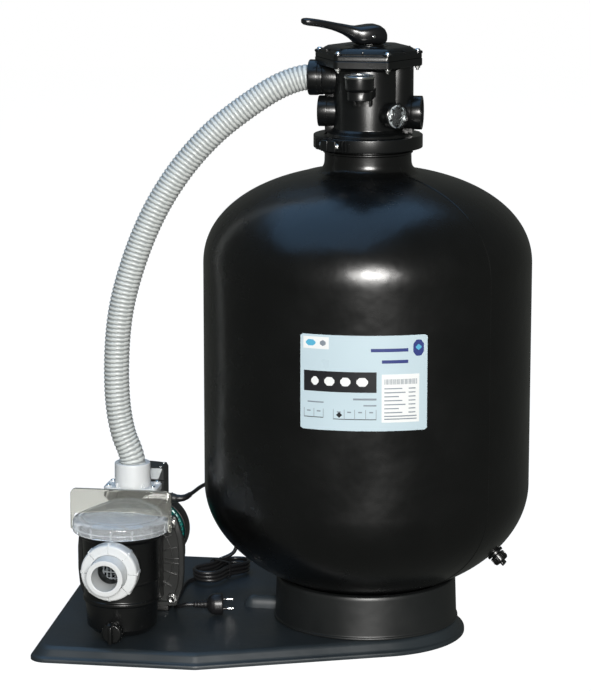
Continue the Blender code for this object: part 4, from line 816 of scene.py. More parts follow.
PORTS = [
    ("pump_port", 180.0, PUMP_PORT_HEIGHT, 0.0285, 0.0205, 0.0500, 0.0755),
    ("return_port", 180.0, LOW_PORT_HEIGHT, 0.0262, 0.0205, 0.0520, 0.0840),
    ("waste_port", 0.0, LOW_PORT_HEIGHT, 0.0285, 0.0205, 0.0520, 0.0915),
    ("glass_port", -45.0, LOW_PORT_HEIGHT, 0.0215, 0.0150, 0.0520, 0.0745),
]
for name, angle, height, radius, bore, start, reach in PORTS:
    place, towards = along_x(angle, height)
    port = bmesh.new()
    port_line = [(bore, start), (radius - 0.0010, start), (radius - 0.0010, reach - 0.0160)]
    port_line += [(radius, reach - 0.0155), (radius, reach), (bore + 0.0022, reach), (bore, reach - 0.0040)]
    lathe(port, softened(port_line, 0.0009, 3, ring=True), 72, place, towards, ring=True)
    if name in ("return_port", "waste_port"):
        for turn_number in range(7):
            level = reach - 0.0035 - turn_number * 0.0032
            lathe(port, [(bore + 0.0004, level - 0.0011), (bore - 0.0007, level),
                         (bore + 0.0004, level + 0.0011)],
                  72, place, towards, ring=True)
    put(name, port, "root", [valve_black])

WEB_THICKNESS = 0.0040
webs = bmesh.new()
for low, high in (((-0.0740, -WEB_THICKNESS / 2, 0.9280), (-0.0560, WEB_THICKNESS / 2, 0.9400)),
                  ((0.0560, -WEB_THICKNESS / 2, 0.8700), (0.0760, WEB_THICKNESS / 2, 0.8830)),
                  ((-0.0740, -WEB_THICKNESS / 2, 0.8700), (-0.0560, WEB_THICKNESS / 2, 0.8840))):
    round_box(webs, low, high, 0.0012)
put("port_webs", webs, "root", [valve_black])

GAUGE_Y, BOSS_LOW, BOSS_HIGH = -0.111, 0.9382, 0.9533
boss = bmesh.new()
arm_half, arm_end = 0.0200, GAUGE_Y
arm = [(arm_half, -0.0480), (-arm_half, -0.0480)]
arm += [(arm_half * math.cos(math.radians(a)), arm_end + 0.0135 * math.sin(math.radians(a)))
        for a in range(180, 361, 12)]
stack(boss, [[Vector((x * (1 - inset), y + (0.002 * inset * 10), height)) for x, y in arm]
             for inset, height in ((0.05, BOSS_LOW), (0.0, BOSS_LOW + 0.0010), (0.0, BOSS_HIGH - 0.0008),
                                   (0.03, BOSS_HIGH))])
for x in (-0.0135, 0.0135):
    round_box(boss, (x - 0.0016, -0.0780, 0.9240), (x + 0.0016, -0.0500, 0.9400), 0.0008)
put("gauge_boss", boss, "root", [valve_black])


# ---------------------------------------------------------------- valve cover and its six screws
# Black ABS cover with the flange's six corners, a raised round crown and an arrow-free plain rim,
# held by six stainless pan-head screws with nuts and washers underneath.
COVER_LOW, COVER_STEP, COVER_CROWN, COVER_TOP = 0.9990, 1.0080, 1.0125, 1.0180
STEM_BORE = 0.0078
cover = bmesh.new()
cover_levels = [(0.0908, 0.0105, COVER_LOW), (0.0918, 0.0105, COVER_LOW + 0.0008),
                (0.0918, 0.0105, COVER_STEP - 0.0012), (0.0908, 0.0105, COVER_STEP),
                (0.0880, 0.0150, COVER_STEP + 0.0004), (0.0872, 0.0160, COVER_CROWN - 0.0012),
                (0.0860, 0.0170, COVER_CROWN)]
cover_rings = [hexagon(corner, rounding, height) for corner, rounding, height in cover_levels]
for radius, height in ((0.0766, COVER_CROWN + 0.0002), (0.0750, COVER_CROWN + 0.0026),
                       (0.0700, COVER_TOP - 0.0004),
                       (0.0690, COVER_TOP), (0.0400, COVER_TOP), (0.0390, COVER_TOP - 0.0008),
                       (0.0330, COVER_TOP - 0.0008), (0.0320, COVER_TOP), (STEM_BORE, COVER_TOP),
                       (STEM_BORE, COVER_LOW)):
    cover_rings.append(onto_circle(cover_rings[0], radius, height))
loop_stack(cover, cover_rings)
LUG_RADIUS = 0.0830
for number in range(6):
    angle = math.radians(60 * number)
    middle = (LUG_RADIUS * math.cos(angle), LUG_RADIUS * math.sin(angle), 0)
    lathe(cover, softened([(0, COVER_STEP - 0.001), (0.0086, COVER_STEP - 0.001),
                           (0.0083, COVER_CROWN - 0.0016),
                           (0, COVER_CROWN - 0.0016)], 0.0008), 36, middle)
for number in range(6):
    angle = math.radians(60 * number + 30)
    turn = Matrix.Rotation(angle, 4, "Z")
    round_box(cover, (0.0690, -0.0012, COVER_CROWN - 0.003), (0.0765, 0.0012, COVER_TOP - 0.0030), 0.0006,
              2, turn)
cover = put("valve_lid_plate", cover, "root", [valve_black], ["valve_cover"])
screws = bmesh.new()
for number in range(6):
    angle = math.radians(60 * number)
    middle = Vector((LUG_RADIUS * math.cos(angle), LUG_RADIUS * math.sin(angle), 0))
    head = COVER_CROWN - 0.0016
    lathe(screws, softened([(0, head - 0.0010), (0.0064, head - 0.0010), (0.0064, head + 0.0006),
                            (0.0048, head + 0.0006), (0.0046, head + 0.0022), (0.0030, head + 0.0036),
                            (0.0017, head + 0.0038), (0.0013, head + 0.0024), (0, head + 0.0024)], 0.0004),
          32, middle)
    lathe(screws, [(0, FLANGE_LOW - 0.0085), (0.0023, FLANGE_LOW - 0.0078), (0.0023, head), (0, head)],
          20, middle)
    lathe(screws, softened([(0.0024, FLANGE_LOW - 0.0011), (0.0060, FLANGE_LOW - 0.0011),
                            (0.0060, FLANGE_LOW - 0.0001), (0.0024, FLANGE_LOW - 0.0001)], 0.0003,
                           ring=True),
          32, middle, ring=True)
    hexagon_head(screws, 0.0080, 0.0036, middle + Vector((0, 0, FLANGE_LOW - 0.0011)), (0, 0, -1))
put("cover_screws", screws, "root", [bright_steel])


# ---------------------------------------------------------------- handle
# Glass-filled nylon lever that forks over the rotor's stem on a stainless pin; pushing it down lifts
# the rotor, and turning it then picks the way the water goes. A white slip washer lies under it.
LEVER_HEIGHT, LEVER_TURN = 1.035, 30.0
LEVER_STATIONS = [
    (0.0268, 1.0268, 1.0385, 0.0165), (0.0258, 1.0240, 1.0425, 0.0200), (0.0225, 1.0206, 1.0480, 0.0235),
    (0.0165, 1.0206, 1.0522, 0.0254), (0.0100, 1.0206, 1.0543, 0.0260), (0.0020, 1.0206, 1.0543, 0.0262),
    (-0.0060, 1.0206, 1.0535, 0.0258), (-0.0145, 1.0206, 1.0527, 0.0242), (-0.0220, 1.0212, 1.0520, 0.0218),
    (-0.0265, 1.0245, 1.0525, 0.0192), (-0.0310, 1.0285, 1.0530, 0.0170), (-0.0380, 1.0335, 1.0545, 0.0152),
    (-0.0460, 1.0382, 1.0562, 0.0140), (-0.0560, 1.0425, 1.0580, 0.0130), (-0.0660, 1.0462, 1.0602, 0.0125),
    (-0.0780, 1.0495, 1.0627, 0.0124), (-0.0900, 1.0522, 1.0650, 0.0126), (-0.1010, 1.0540, 1.0668, 0.0128),
    (-0.1100, 1.0552, 1.0680, 0.0123), (-0.1155, 1.0566, 1.0678, 0.0108), (-0.1185, 1.0588, 1.0668, 0.0084),
    (-0.1196, 1.0606, 1.0652, 0.0050),
]
nylon_black = moulded("nylon_black", (0.0065, 0.0070, 0.0078), 0.26, mottle=0.2, haze=0.05, grain=0.00005,
                      grain_size=0.0008)
lever_frame = Matrix.Translation((0, 0, 0)) @ Matrix.Rotation(math.radians(LEVER_TURN), 4, "Z")
lever = bmesh.new()
lever_rings = []
for x, low, high, half in LEVER_STATIONS:
    middle, tall = (low + high) / 2, (high - low) / 2
    outline = []
    for step in range(36):
        angle = 2 * math.pi * step / 36
        squareness = 0.62
        y = half * math.copysign(abs(math.cos(angle)) ** squareness, math.cos(angle))
        z = middle + tall * math.copysign(abs(math.sin(angle)) ** squareness, math.sin(angle))
        outline.append(lever_frame @ Vector((x, y, z)))
    lever_rings.append(outline)
stack(lever, lever_rings)
lever = put("lever_handle", lever, "lever", [nylon_black], ["handle_lever"], crease=42)


fork = bmesh.new()
round_box(fork, (-0.0135, -0.0080, LEVER_HEIGHT - 0.0300), (0.0135, 0.0080, LEVER_HEIGHT + 0.0125),
          0.0030, 4,
          lever_frame)
carve(lever, fork)
pin_hole = bmesh.new()
pin_along = Vector((math.sin(math.radians(LEVER_TURN)), -math.cos(math.radians(LEVER_TURN)), 0))
lathe(pin_hole, [(0, -0.040), (0.0034, -0.040), (0.0034, 0.040), (0, 0.040)], 32, (0, 0, LEVER_HEIGHT),
      pin_along)
carve(lever, pin_hole)
lever.data.shade_smooth()
lever.data.set_sharp_from_angle(angle=math.radians(42))

pin = bmesh.new()
lathe(pin, softened([(0, -0.0262), (0.0030, -0.0262), (0.0030, 0.0262), (0, 0.0262)], 0.0007), 32,
      (0, 0, LEVER_HEIGHT), pin_along)
pin = put("lever_pin", pin, "rotor_stem", [bright_steel], ["handle_pin"])
fitting_white = moulded("fitting_white", (0.66, 0.68, 0.69), 0.34, mottle=0.04, haze=0.06, grain=0.00006)
washer = bmesh.new()
lathe(washer, softened([(0.0100, 1.0183), (0.0262, 1.0183), (0.0262, 1.0202), (0.0100, 1.0202)], 0.0005,
                       ring=True), 72, ring=True)
washer = put("swivel_washer", washer, "handle_swivel", [valve_black], ["slip_washer"])


# ---------------------------------------------------------------- pressure gauge
# Small dry gauge with a black case, a bright rolled bezel and a glass, screwed face up into the
# boss; a red pointer turns over a white dial with plain ticks and coloured arcs.
gauge_place = (0.0, GAUGE_Y, 0.0)
gauge = bmesh.new()
lathe(gauge, softened([(0, 0.9445), (0.0045, 0.9445), (0.0045, 0.9545), (0.0205, 0.9545), (0.0240, 0.9580),
                       (0.0243, 0.9770), (0.0222, 0.9772), (0.0222, 0.9580), (0, 0.9580)], 0.0012), 96,
      gauge_place)
hexagon_head(gauge, 0.0120, 0.0034, Vector((0, GAUGE_Y, 0.9512)), (0, 0, 1))
gauge = put("gauge_shell", gauge, "root", [valve_black], ["gauge_case"])
gauge_bezel = bmesh.new()
lathe(gauge_bezel, softened([(0.0244, 0.9755), (0.0252, 0.9760), (0.0252, 0.9796), (0.0244, 0.9801),
                             (0.0232, 0.9801), (0.0229, 0.9795), (0.0229, 0.9786), (0.0243, 0.9784)],
                            0.0005, 3, ring=True), 96, gauge_place, ring=True)
put("gauge_bezel", gauge_bezel, "root", [bright_steel])
dial_paper = moulded("dial_paper", (0.82, 0.82, 0.80), 0.50, mottle=0.03, grain=0.00002)
dial_ink = moulded("dial_ink", (0.02, 0.02, 0.02), 0.50, mottle=0.1, grain=0.00002)
dial_green = moulded("dial_green", (0.02, 0.30, 0.08), 0.45, mottle=0.1, grain=0.00002)
pointer_red = moulded("pointer_red", (0.50, 0.03, 0.02), 0.35, mottle=0.1, grain=0.00002)
DIAL_TOP, DIAL_FIRST, DIAL_SWEEP, DIAL_TICKS = 0.9749, 135.0, -270.0, 31
dial = bmesh.new()
lathe(dial, softened([(0, 0.9743), (0.0218, 0.9743), (0.0218, DIAL_TOP), (0, DIAL_TOP)], 0.0002), 72,
      gauge_place)
for tick in range(DIAL_TICKS):
    angle = math.radians(DIAL_FIRST + DIAL_SWEEP * tick / (DIAL_TICKS - 1) + 90)
    turn = Matrix.Translation(gauge_place) @ Matrix.Rotation(angle, 4, "Z")
    long_tick = tick % 5 == 0
    round_box(dial, (0.0158 if long_tick else 0.0178, -0.0004 if long_tick else -0.0002, DIAL_TOP - 0.0002),
              (0.0202, 0.0004 if long_tick else 0.0002, DIAL_TOP + 0.00015), 0.00005, 1, turn, finish=1)
green_first = DIAL_FIRST + 90 + DIAL_SWEEP * 0.25
lathe(dial, [(0.0150, DIAL_TOP - 0.0002), (0.0155, DIAL_TOP - 0.0002), (0.0155, DIAL_TOP + 0.0001),
             (0.0150, DIAL_TOP + 0.0001)], 24, gauge_place, ring=True, finish=2,
      sweep=(green_first, green_first - 80))
dial = put("dial_plate", dial, "root", [dial_paper, dial_ink, dial_green], ["gauge_dial"])
pointer = bmesh.new()
pointer_frame = Matrix.Translation(gauge_place) @ Matrix.Rotation(math.radians(45), 4, "Z")
lathe(pointer, softened([(0, 0.9754), (0.0025, 0.9754), (0.0025, 0.9770), (0, 0.9773)], 0.0003), 40,
      gauge_place)
blade = [(0.0062, 0.0009), (0.0060, 0.0012), (-0.0010, 0.0008), (-0.0150, 0.0005), (-0.0170, 0.0001)]
blade = blade + [(x, -y) for x, y in reversed(blade)]
stack(pointer, [[pointer_frame @ Vector((x, y, height)) for x, y in blade] for height in (0.9758, 0.9763)])
pointer = put("pointer_blade", pointer, "needle", [pointer_red], ["gauge_needle"])


def clear(name, colour, roughness, haze=0.03, ior=1.49, scatter=0.0):
    """Finish of a clear plastic or glass: see-through, with faint uneven haze and fine scratches."""
    finish = bpy.data.materials.new(name)
    finish.use_nodes = True
    nodes, links = finish.node_tree.nodes, finish.node_tree.links
    shader = nodes["Principled BSDF"]
    shader.inputs["Base Color"].default_value = (*colour, 1.0)
    shader.inputs["IOR"].default_value = ior
    shader.inputs["Transmission Weight"].default_value = 1.0 - scatter
    place = nodes.new("ShaderNodeTexCoord")
    wear = nodes.new("ShaderNodeTexNoise")
    wear.inputs["Scale"].default_value = 30.0
    wear.inputs["Detail"].default_value = 6.0
    links.new(place.outputs["Object"], wear.inputs["Vector"])
    spread = nodes.new("ShaderNodeMapRange")
    spread.inputs["From Min"].default_value = 0.35
    spread.inputs["From Max"].default_value = 0.65
    spread.inputs["To Min"].default_value = max(0.01, roughness - haze)
    spread.inputs["To Max"].default_value = roughness + haze
    links.new(wear.outputs["Fac"], spread.inputs["Value"])
    links.new(spread.outputs["Result"], shader.inputs["Roughness"])
    return finish


gauge_glass = clear("gauge_glass", (0.95, 0.97, 0.97), 0.05, haze=0.03, ior=1.45)
pane = bmesh.new()
lathe(pane, softened([(0, 0.9779), (0.0226, 0.9779), (0.0226, 0.9788), (0.0140, 0.9791), (0, 0.9792)],
                     0.0003), 72,
      gauge_place)
pane = put("gauge_pane", pane, "root", [gauge_glass], ["gauge_lens"])


# ---------------------------------------------------------------- sight glass
# Clear screw-in bowl on the waste passage's side that shows how clean the water is: a dark bayonet
# ring and a domed clear pane, with a white pip behind the pane's middle as a painted highlight.
glass_place, glass_out = along_x(-45.0, LOW_PORT_HEIGHT)
glass_clear = clear("glass_clear", (0.75, 0.80, 0.80), 0.12, haze=0.08)
glass = bmesh.new()
lathe(glass, softened([(0, 0.0620), (0.0146, 0.0620), (0.0146, 0.0748), (0.0193, 0.0748), (0.0193, 0.0800),
                       (0.0165, 0.0845), (0.0100, 0.0880), (0, 0.0890)], 0.0010), 72, glass_place,
      glass_out)
glass = put("sight_bowl", glass, "root", [glass_clear], ["sight_glass"])
glass_ring = bmesh.new()
lathe(glass_ring, softened([(0.0194, 0.0740), (0.0226, 0.0745), (0.0228, 0.0800), (0.0205, 0.0818),
                            (0.0194, 0.0812)], 0.0006, 3, ring=True), 72, glass_place, glass_out, ring=True)
for number in range(6):
    turn = facing(glass_place, glass_out) @ Matrix.Rotation(math.pi * number / 3 + 0.3, 4, "Z")
    round_box(glass_ring, (0.0150, -0.0016, 0.0842), (0.0205, 0.0016, 0.0856), 0.0005, 2, turn)
put("sight_ring", glass_ring, "root", [valve_black])
# Painted highlight: a white pip seen through the clear pane stands in for the glass's shiny centre.
highlight_pip = bmesh.new()
lathe(highlight_pip, softened([(0, 0.0500), (0.0060, 0.0500), (0.0036, 0.0600), (0, 0.0608)], 0.0006), 40,
      glass_place,
      glass_out)
put("sight_highlight_pip", highlight_pip, "root", [fitting_white])


# ---------------------------------------------------------------- hose collar
# Black threaded collar that draws the hose's end onto the valve's pump port: a narrower skirt over
# the port and a wide smooth sleeve with a fine step between them.
collar_place, collar_out = along_x(180.0, PUMP_PORT_HEIGHT)
collar = bmesh.new()
lathe(collar, softened([(0.0165, 0.0600), (0.0242, 0.0600), (0.0242, 0.0758), (0.0285, 0.0758),
                        (0.0290, 0.0765),
                        (0.0290, 0.0842), (0.0300, 0.0848), (0.0303, 0.0990), (0.0290, 0.1008),
                        (0.0228, 0.1010), (0.0226, 0.0790), (0.0165, 0.0770)], 0.0010, 3, ring=True), 120,
      collar_place, collar_out, ring=True)
collar = put("collar_sleeve", collar, "root", [valve_black], ["hose_collar"])


# ---------------------------------------------------------------- hose
# Light grey suction hose with a hard white spiral wound into a softer grey wall, so it bends without
# kinking. Its ends are pushed into the pump's socket and the valve's collar.
HOSE_RADIUS, HOSE_PITCH = 0.0220, 0.0075
HOSE_GROOVE = 0.0017
HOSE_ROUTE = [
    (-0.4000, -0.0605, 0.2680), (-0.4000, -0.0605, 0.2850), (-0.4000, -0.0605, 0.3010),
    (-0.4040, -0.0612, 0.3180), (-0.4140, -0.0620, 0.3450), (-0.4215, -0.0622, 0.3800),
    (-0.4256, -0.0620, 0.4260), (-0.4250, -0.0608, 0.4930), (-0.4190, -0.0588, 0.5550),
    (-0.4070, -0.0560, 0.6100), (-0.3800, -0.0500, 0.6900), (-0.3480, -0.0440, 0.7560),
    (-0.3070, -0.0365, 0.8170), (-0.2600, -0.0280, 0.8690), (-0.2150, -0.0200, 0.9060),
    (-0.1600, -0.0100, 0.9430), (-0.1260, -0.0020, 0.9580), (-0.1040, 0.0000, 0.9630),
    (-0.0920, 0.0000, 0.9630), (-0.0800, 0.0000, 0.9630),
]
hose_steps_per_pitch = 6
hose_route = smooth_route(HOSE_ROUTE, HOSE_PITCH / hose_steps_per_pitch)
hose_soft = moulded("hose_soft", (0.30, 0.32, 0.32), 0.42, mottle=0.05, haze=0.05, grain=0.00008)
hose_hard = moulded("hose_hard", (0.62, 0.65, 0.64), 0.33, mottle=0.04, haze=0.05, grain=0.00004)
hose = bmesh.new()
hose_sides = 48
side = Vector((0, 1, 0))
hose_rings = []
walked = 0.0
for i, point in enumerate(hose_route):
    along = (hose_route[min(i + 1, len(hose_route) - 1)] - hose_route[max(i - 1, 0)]).normalized()
    side = (side - along * side.dot(along)).normalized()
    up = along.cross(side)
    if i:
        walked += (point - hose_route[i - 1]).length
    ring = []
    for k in range(hose_sides):
        phase = walked / HOSE_PITCH - k / hose_sides
        swell = 0.5 + 0.5 * math.cos(2 * math.pi * phase)
        radius = HOSE_RADIUS - HOSE_GROOVE * (1 - swell ** 0.55)
        angle = 2 * math.pi * k / hose_sides
        ring.append((hose.verts.new(point + (side * math.cos(angle) + up * math.sin(angle)) * radius),
                     swell))
    hose_rings.append(ring)
for low, high in zip(hose_rings, hose_rings[1:]):
    for k in range(hose_sides):
        j = (k + 1) % hose_sides
        crown = (low[k][1] + low[j][1] + high[k][1] + high[j][1]) / 4
        face = hose.faces.new((low[k][0], low[j][0], high[j][0], high[k][0]))
        face.material_index = 1 if crown > 0.42 else 0
for ring in (hose_rings[0], hose_rings[-1]):
    hose.faces.new([v for v, _ in ring]).material_index = 0
hose = put("ribbed_hose", hose, "root", [hose_soft, hose_hard], ["hose"], crease=70)


# ---------------------------------------------------------------- pump outlet socket
# White PVC socket on a square-cornered flange, screwed down on the pump's outlet with a seal; the
# hose is pushed into it.
SOCKET_PLACE = (-0.4000, -0.0605, 0.0)
socket = bmesh.new()
lathe(socket, softened([(0.0165, 0.2472), (0.0312, 0.2472), (0.0312, 0.2600), (0.0309, 0.2960),
                        (0.0300, 0.2980),
                        (0.0232, 0.2980), (0.0226, 0.2970), (0.0226, 0.2640), (0.0165, 0.2620)], 0.0012, 3,
                       ring=True), 96, SOCKET_PLACE, ring=True)


def flat_ring(bm, half_x, half_y, corner, bore, low, high, place, edge=0.0010, finish=0):
    """A rounded rectangular plate with a round hole through it."""
    place = Vector(place)
    outer = []
    for inset, height in ((edge, low), (0.0, low + edge), (0.0, high - edge), (edge, high)):
        x, y = half_x - inset, half_y - inset
        outline = rounded([(-x, -y), (x, -y), (x, y), (-x, y)], corner, 8)
        outer.append([Vector((p.x, p.y, height)) for p in outline])
    holes = [onto_circle(outer[0], bore, height) for height in (high, low)]
    loop_stack(bm, [[place + p for p in outline] for outline in outer + holes], finish)


flat_ring(socket, 0.0475, 0.0275, 0.0120, 0.0170, 0.2470, 0.2570, SOCKET_PLACE)
for x in (-0.0390, 0.0390):
    for y in (-0.0185, 0.0185):
        middle = Vector(SOCKET_PLACE) + Vector((x, y, 0))
        lathe(socket, softened([(0, 0.2560), (0.0062, 0.2560), (0.0058, 0.2590), (0, 0.2592)], 0.0006),
              28, middle)
for angle in (-45.0, 45.0, 135.0, 225.0):
    turn = Matrix.Translation(SOCKET_PLACE) @ Matrix.Rotation(math.radians(angle), 4, "Z")
    round_box(socket, (0.0290, -0.0010, 0.2560), (0.0345, 0.0010, 0.2640), 0.0006, 2, turn)
socket = put("outlet_socket", socket, "root", [fitting_white], ["discharge_socket"])
socket_screws = bmesh.new()
for x in (-0.0390, 0.0390):
    for y in (-0.0185, 0.0185):
        middle = Vector(SOCKET_PLACE) + Vector((x, y, 0))
        lathe(socket_screws, softened([(0, 0.2585), (0.0040, 0.2585), (0.0038, 0.2602), (0.0022, 0.2612),
                                       (0.0016, 0.2604), (0, 0.2604)], 0.0003), 24, middle)
put("socket_screws", socket_screws, "root", [bright_steel])


# ---------------------------------------------------------------- strainer pot
# Black glass-filled polypropylene pot with a stepped rim for the lid's seal, a bulged square flange
# with a raised rim and ribs bolted to the pump's casing, a suction spigot and a low drain plug.
POT_PLACE = Vector((-0.395, -0.182, 0.0))
SHAFT_HEIGHT, SUCTION_HEIGHT, DRAIN_HEIGHT = 0.136, 0.160, 0.050
pump_black = moulded("pump_black", (0.0050, 0.0054, 0.0056), 0.30, mottle=0.25, haze=0.07, grain=0.00008,
                     grain_size=0.0010)
pot = bmesh.new()
pot_outside = [(0, 0.0360), (0.0480, 0.0360), (0.0590, 0.0460), (0.0620, 0.0880), (0.0660, 0.0900),
               (0.0660, 0.0950), (0.0635, 0.0970), (0.0640, 0.1250), (0.0655, 0.1262), (0.0655, 0.1290),
               (0.0642, 0.1302), (0.0655, 0.1980), (0.0730, 0.2040), (0.0730, 0.2280), (0.0650, 0.2280)]
pot_inside = [(0.0650, 0.2150), (0.0612, 0.2150), (0.0600, 0.1000), (0.0560, 0.0480), (0, 0.0410)]
lathe(pot, softened(pot_outside + pot_inside, 0.0012), 144, POT_PLACE)
pot = put("pot_moulding", pot, "root", [pump_black], ["strainer_pot"])
suction_bore = bmesh.new()
lathe(suction_bore, [(0, 0.0400), (0.0225, 0.0400), (0.0225, 0.0900), (0, 0.0900)], 72,
      POT_PLACE + Vector((0, 0, SUCTION_HEIGHT)), (0, -1, 0))
carve(pot, suction_bore)
pump_bore = bmesh.new()
lathe(pump_bore, [(0, 0.0400), (0.0215, 0.0400), (0.0215, 0.0900), (0, 0.0900)], 72,
      POT_PLACE + Vector((0, 0, SHAFT_HEIGHT)), (0, 1, 0))
carve(pot, pump_bore)
pot.data.set_sharp_from_angle(angle=math.radians(38))

spigot = bmesh.new()
suction_place = POT_PLACE + Vector((0, 0, SUCTION_HEIGHT))
lathe(spigot, softened([(0.0225, 0.0580), (0.0470, 0.0580), (0.0450, 0.0610), (0.0400, 0.0640),
                        (0.0400, 0.0865),
                        (0.0225, 0.0865)], 0.0012, 3, ring=True), 96, suction_place, (0, -1, 0), ring=True)
for turn_number in range(4):
    level = 0.0680 + turn_number * 0.0042
    lathe(spigot, [(0.0398, level - 0.0013), (0.0409, level), (0.0398, level + 0.0013)], 96, suction_place,
          (0, -1, 0), ring=True)
put("suction_spigot", spigot, "root", [pump_black])
throat = bmesh.new()
shaft_place = POT_PLACE + Vector((0, 0, SHAFT_HEIGHT))
lathe(throat, softened([(0.0215, 0.0560), (0.0320, 0.0560), (0.0320, 0.0760), (0.0215, 0.0760)], 0.0010, 3,
                       ring=True), 72, shaft_place, (0, 1, 0), ring=True)
put("pump_throat", throat, "root", [pump_black])

FLANGE_FRONT, FLANGE_REAR, FLANGE_HALF, FLANGE_DIP = -0.1080, -0.0983, 0.0800, 0.0690
FLANGE_EASE, FLANGE_RIM, FLANGE_FLOOR = 0.0045, 0.0075, FLANGE_FRONT + 0.0042
bulged_side = [(0.0790, -FLANGE_HALF), (0.0905, -0.0460), (0.0930, -0.0200), (0.0930, 0.0200),
               (0.0905, 0.0460),
               (0.0790, FLANGE_HALF), (0.0520, FLANGE_HALF), (0.0400, FLANGE_DIP)]
dipped = bulged_side + [(-x, z) for x, z in reversed(bulged_side)]


def flange_outline(inset, y):
    """The pump flange's outline, with its dip in the top edge, moved inwards and set upright."""
    shrink = (FLANGE_HALF - inset) / FLANGE_HALF
    corners = [(x * shrink, z * shrink) for x, z in dipped]
    points = []
    for i, corner in enumerate(corners):
        corner = Vector(corner)
        back, ahead = Vector(corners[i - 1]) - corner, Vector(corners[(i + 1) % len(corners)]) - corner
        start, end = corner + back.normalized() * FLANGE_EASE, corner + ahead.normalized() * FLANGE_EASE
        for step in range(7):
            t = step / 6
            points.append(start * (1 - t) ** 2 + corner * 2 * t * (1 - t) + end * t * t)
    return [Vector((POT_PLACE.x + p.x, y, SHAFT_HEIGHT + p.y)) for p in points]


def pierced(outline, radius):
    """A circle round the shaft with the outline's point count, in the outline's plane."""
    points = []
    for p in outline:
        around = math.atan2(p.z - SHAFT_HEIGHT, p.x - POT_PLACE.x)
        points.append(Vector((POT_PLACE.x + radius * math.cos(around), p.y,
                              SHAFT_HEIGHT + radius * math.sin(around))))
    return points


flange_black = moulded("flange_black", (0.017, 0.018, 0.0175), 0.42, mottle=0.25, haze=0.07, grain=0.00010,
                       grain_size=0.0012)
pump_flange = bmesh.new()
flange_rings = [flange_outline(inset, y) for inset, y in
                ((FLANGE_RIM + 0.0006, FLANGE_FLOOR), (FLANGE_RIM, FLANGE_FRONT + 0.0008),
                 (FLANGE_RIM - 0.0008, FLANGE_FRONT), (0.0010, FLANGE_FRONT), (0.0, FLANGE_FRONT + 0.0010),
                 (0.0, FLANGE_REAR - 0.0006), (0.0006, FLANGE_REAR))]
flange_rings += [pierced(flange_rings[-1], 0.0220), pierced(flange_rings[0], 0.0220)]
loop_stack(pump_flange, flange_rings)
lathe(pump_flange, softened([(0.0722, FLANGE_FLOOR + 0.0012), (0.0724, FLANGE_FRONT + 0.0012),
                             (0.0748, FLANGE_FRONT + 0.0012), (0.0750, FLANGE_FLOOR + 0.0012)], 0.0005, 2,
                            ring=True),
      120, (POT_PLACE.x, 0, SHAFT_HEIGHT), (0, 1, 0), ring=True)
for side_angle in (0, 180):
    for spread in (-50, -33, -17, -3, 3, 17, 33, 50):
        turn = (Matrix.Translation((POT_PLACE.x, 0, SHAFT_HEIGHT))
                @ Matrix.Rotation(math.radians(side_angle + spread), 4, "Y"))
        round_box(pump_flange, (0.0600, FLANGE_FRONT + 0.0006, -0.0011),
                  (0.0845, FLANGE_FLOOR + 0.0012, 0.0011),
                  0.0005, 2, turn)
put("pump_flange", pump_flange, "root", [flange_black])
FLANGE_BOLT_X, FLANGE_BOLT_Z = 0.0722, 0.0667
flange_bolts = bmesh.new()
bolt_pads = bmesh.new()
for x in (-FLANGE_BOLT_X, FLANGE_BOLT_X):
    for z in (-FLANGE_BOLT_Z, FLANGE_BOLT_Z):
        middle = Vector((POT_PLACE.x + x, FLANGE_FRONT, SHAFT_HEIGHT + z))
        lathe(bolt_pads, softened([(0, 0.0), (0.0098, 0.0), (0.0092, 0.0050), (0, 0.0050)][::-1], 0.0006),
              40,
              middle + Vector((0, 0.0046, 0)), (0, -1, 0))
        middle = middle - Vector((0, 0.0004, 0))
        lathe(flange_bolts, softened([(0, 0.0), (0.0078, 0.0), (0.0078, 0.0014), (0, 0.0014)], 0.0004),
              32, middle,
              (0, -1, 0))
        hexagon_head(flange_bolts, 0.0100, 0.0062, middle - Vector((0, 0.0013, 0)), (0, -1, 0), dish=0.0014)
put("pump_flange_pads", bolt_pads, "root", [flange_black])
put("pump_flange_bolts", flange_bolts, "root", [bright_steel])

braces = bmesh.new()
for x in (-0.0560, -0.0330, 0.0330, 0.0560):
    start = POT_PLACE.y + math.sqrt(0.0640 ** 2 - x ** 2) - 0.002
    round_box(braces, (POT_PLACE.x + x - 0.0015, start, 0.0740),
              (POT_PLACE.x + x + 0.0015, FLANGE_FRONT + 0.001, 0.1980),
              0.0006, 2)
put("flange_braces", braces, "root", [flange_black])
shelves = bmesh.new()
for z in (0.0930, 0.1900):
    round_box(shelves, (POT_PLACE.x - 0.0580, POT_PLACE.y + 0.0200, z - 0.0015),
              (POT_PLACE.x + 0.0580, FLANGE_FRONT + 0.001, z + 0.0015), 0.0006, 2)
shelves = put("flange_shelves", shelves, "root", [flange_black])
pot_room = bmesh.new()
lathe(pot_room, [(0, 0.0500), (0.0625, 0.0500), (0.0625, 0.2100), (0, 0.2100)], 96, POT_PLACE)
carve(shelves, pot_room)

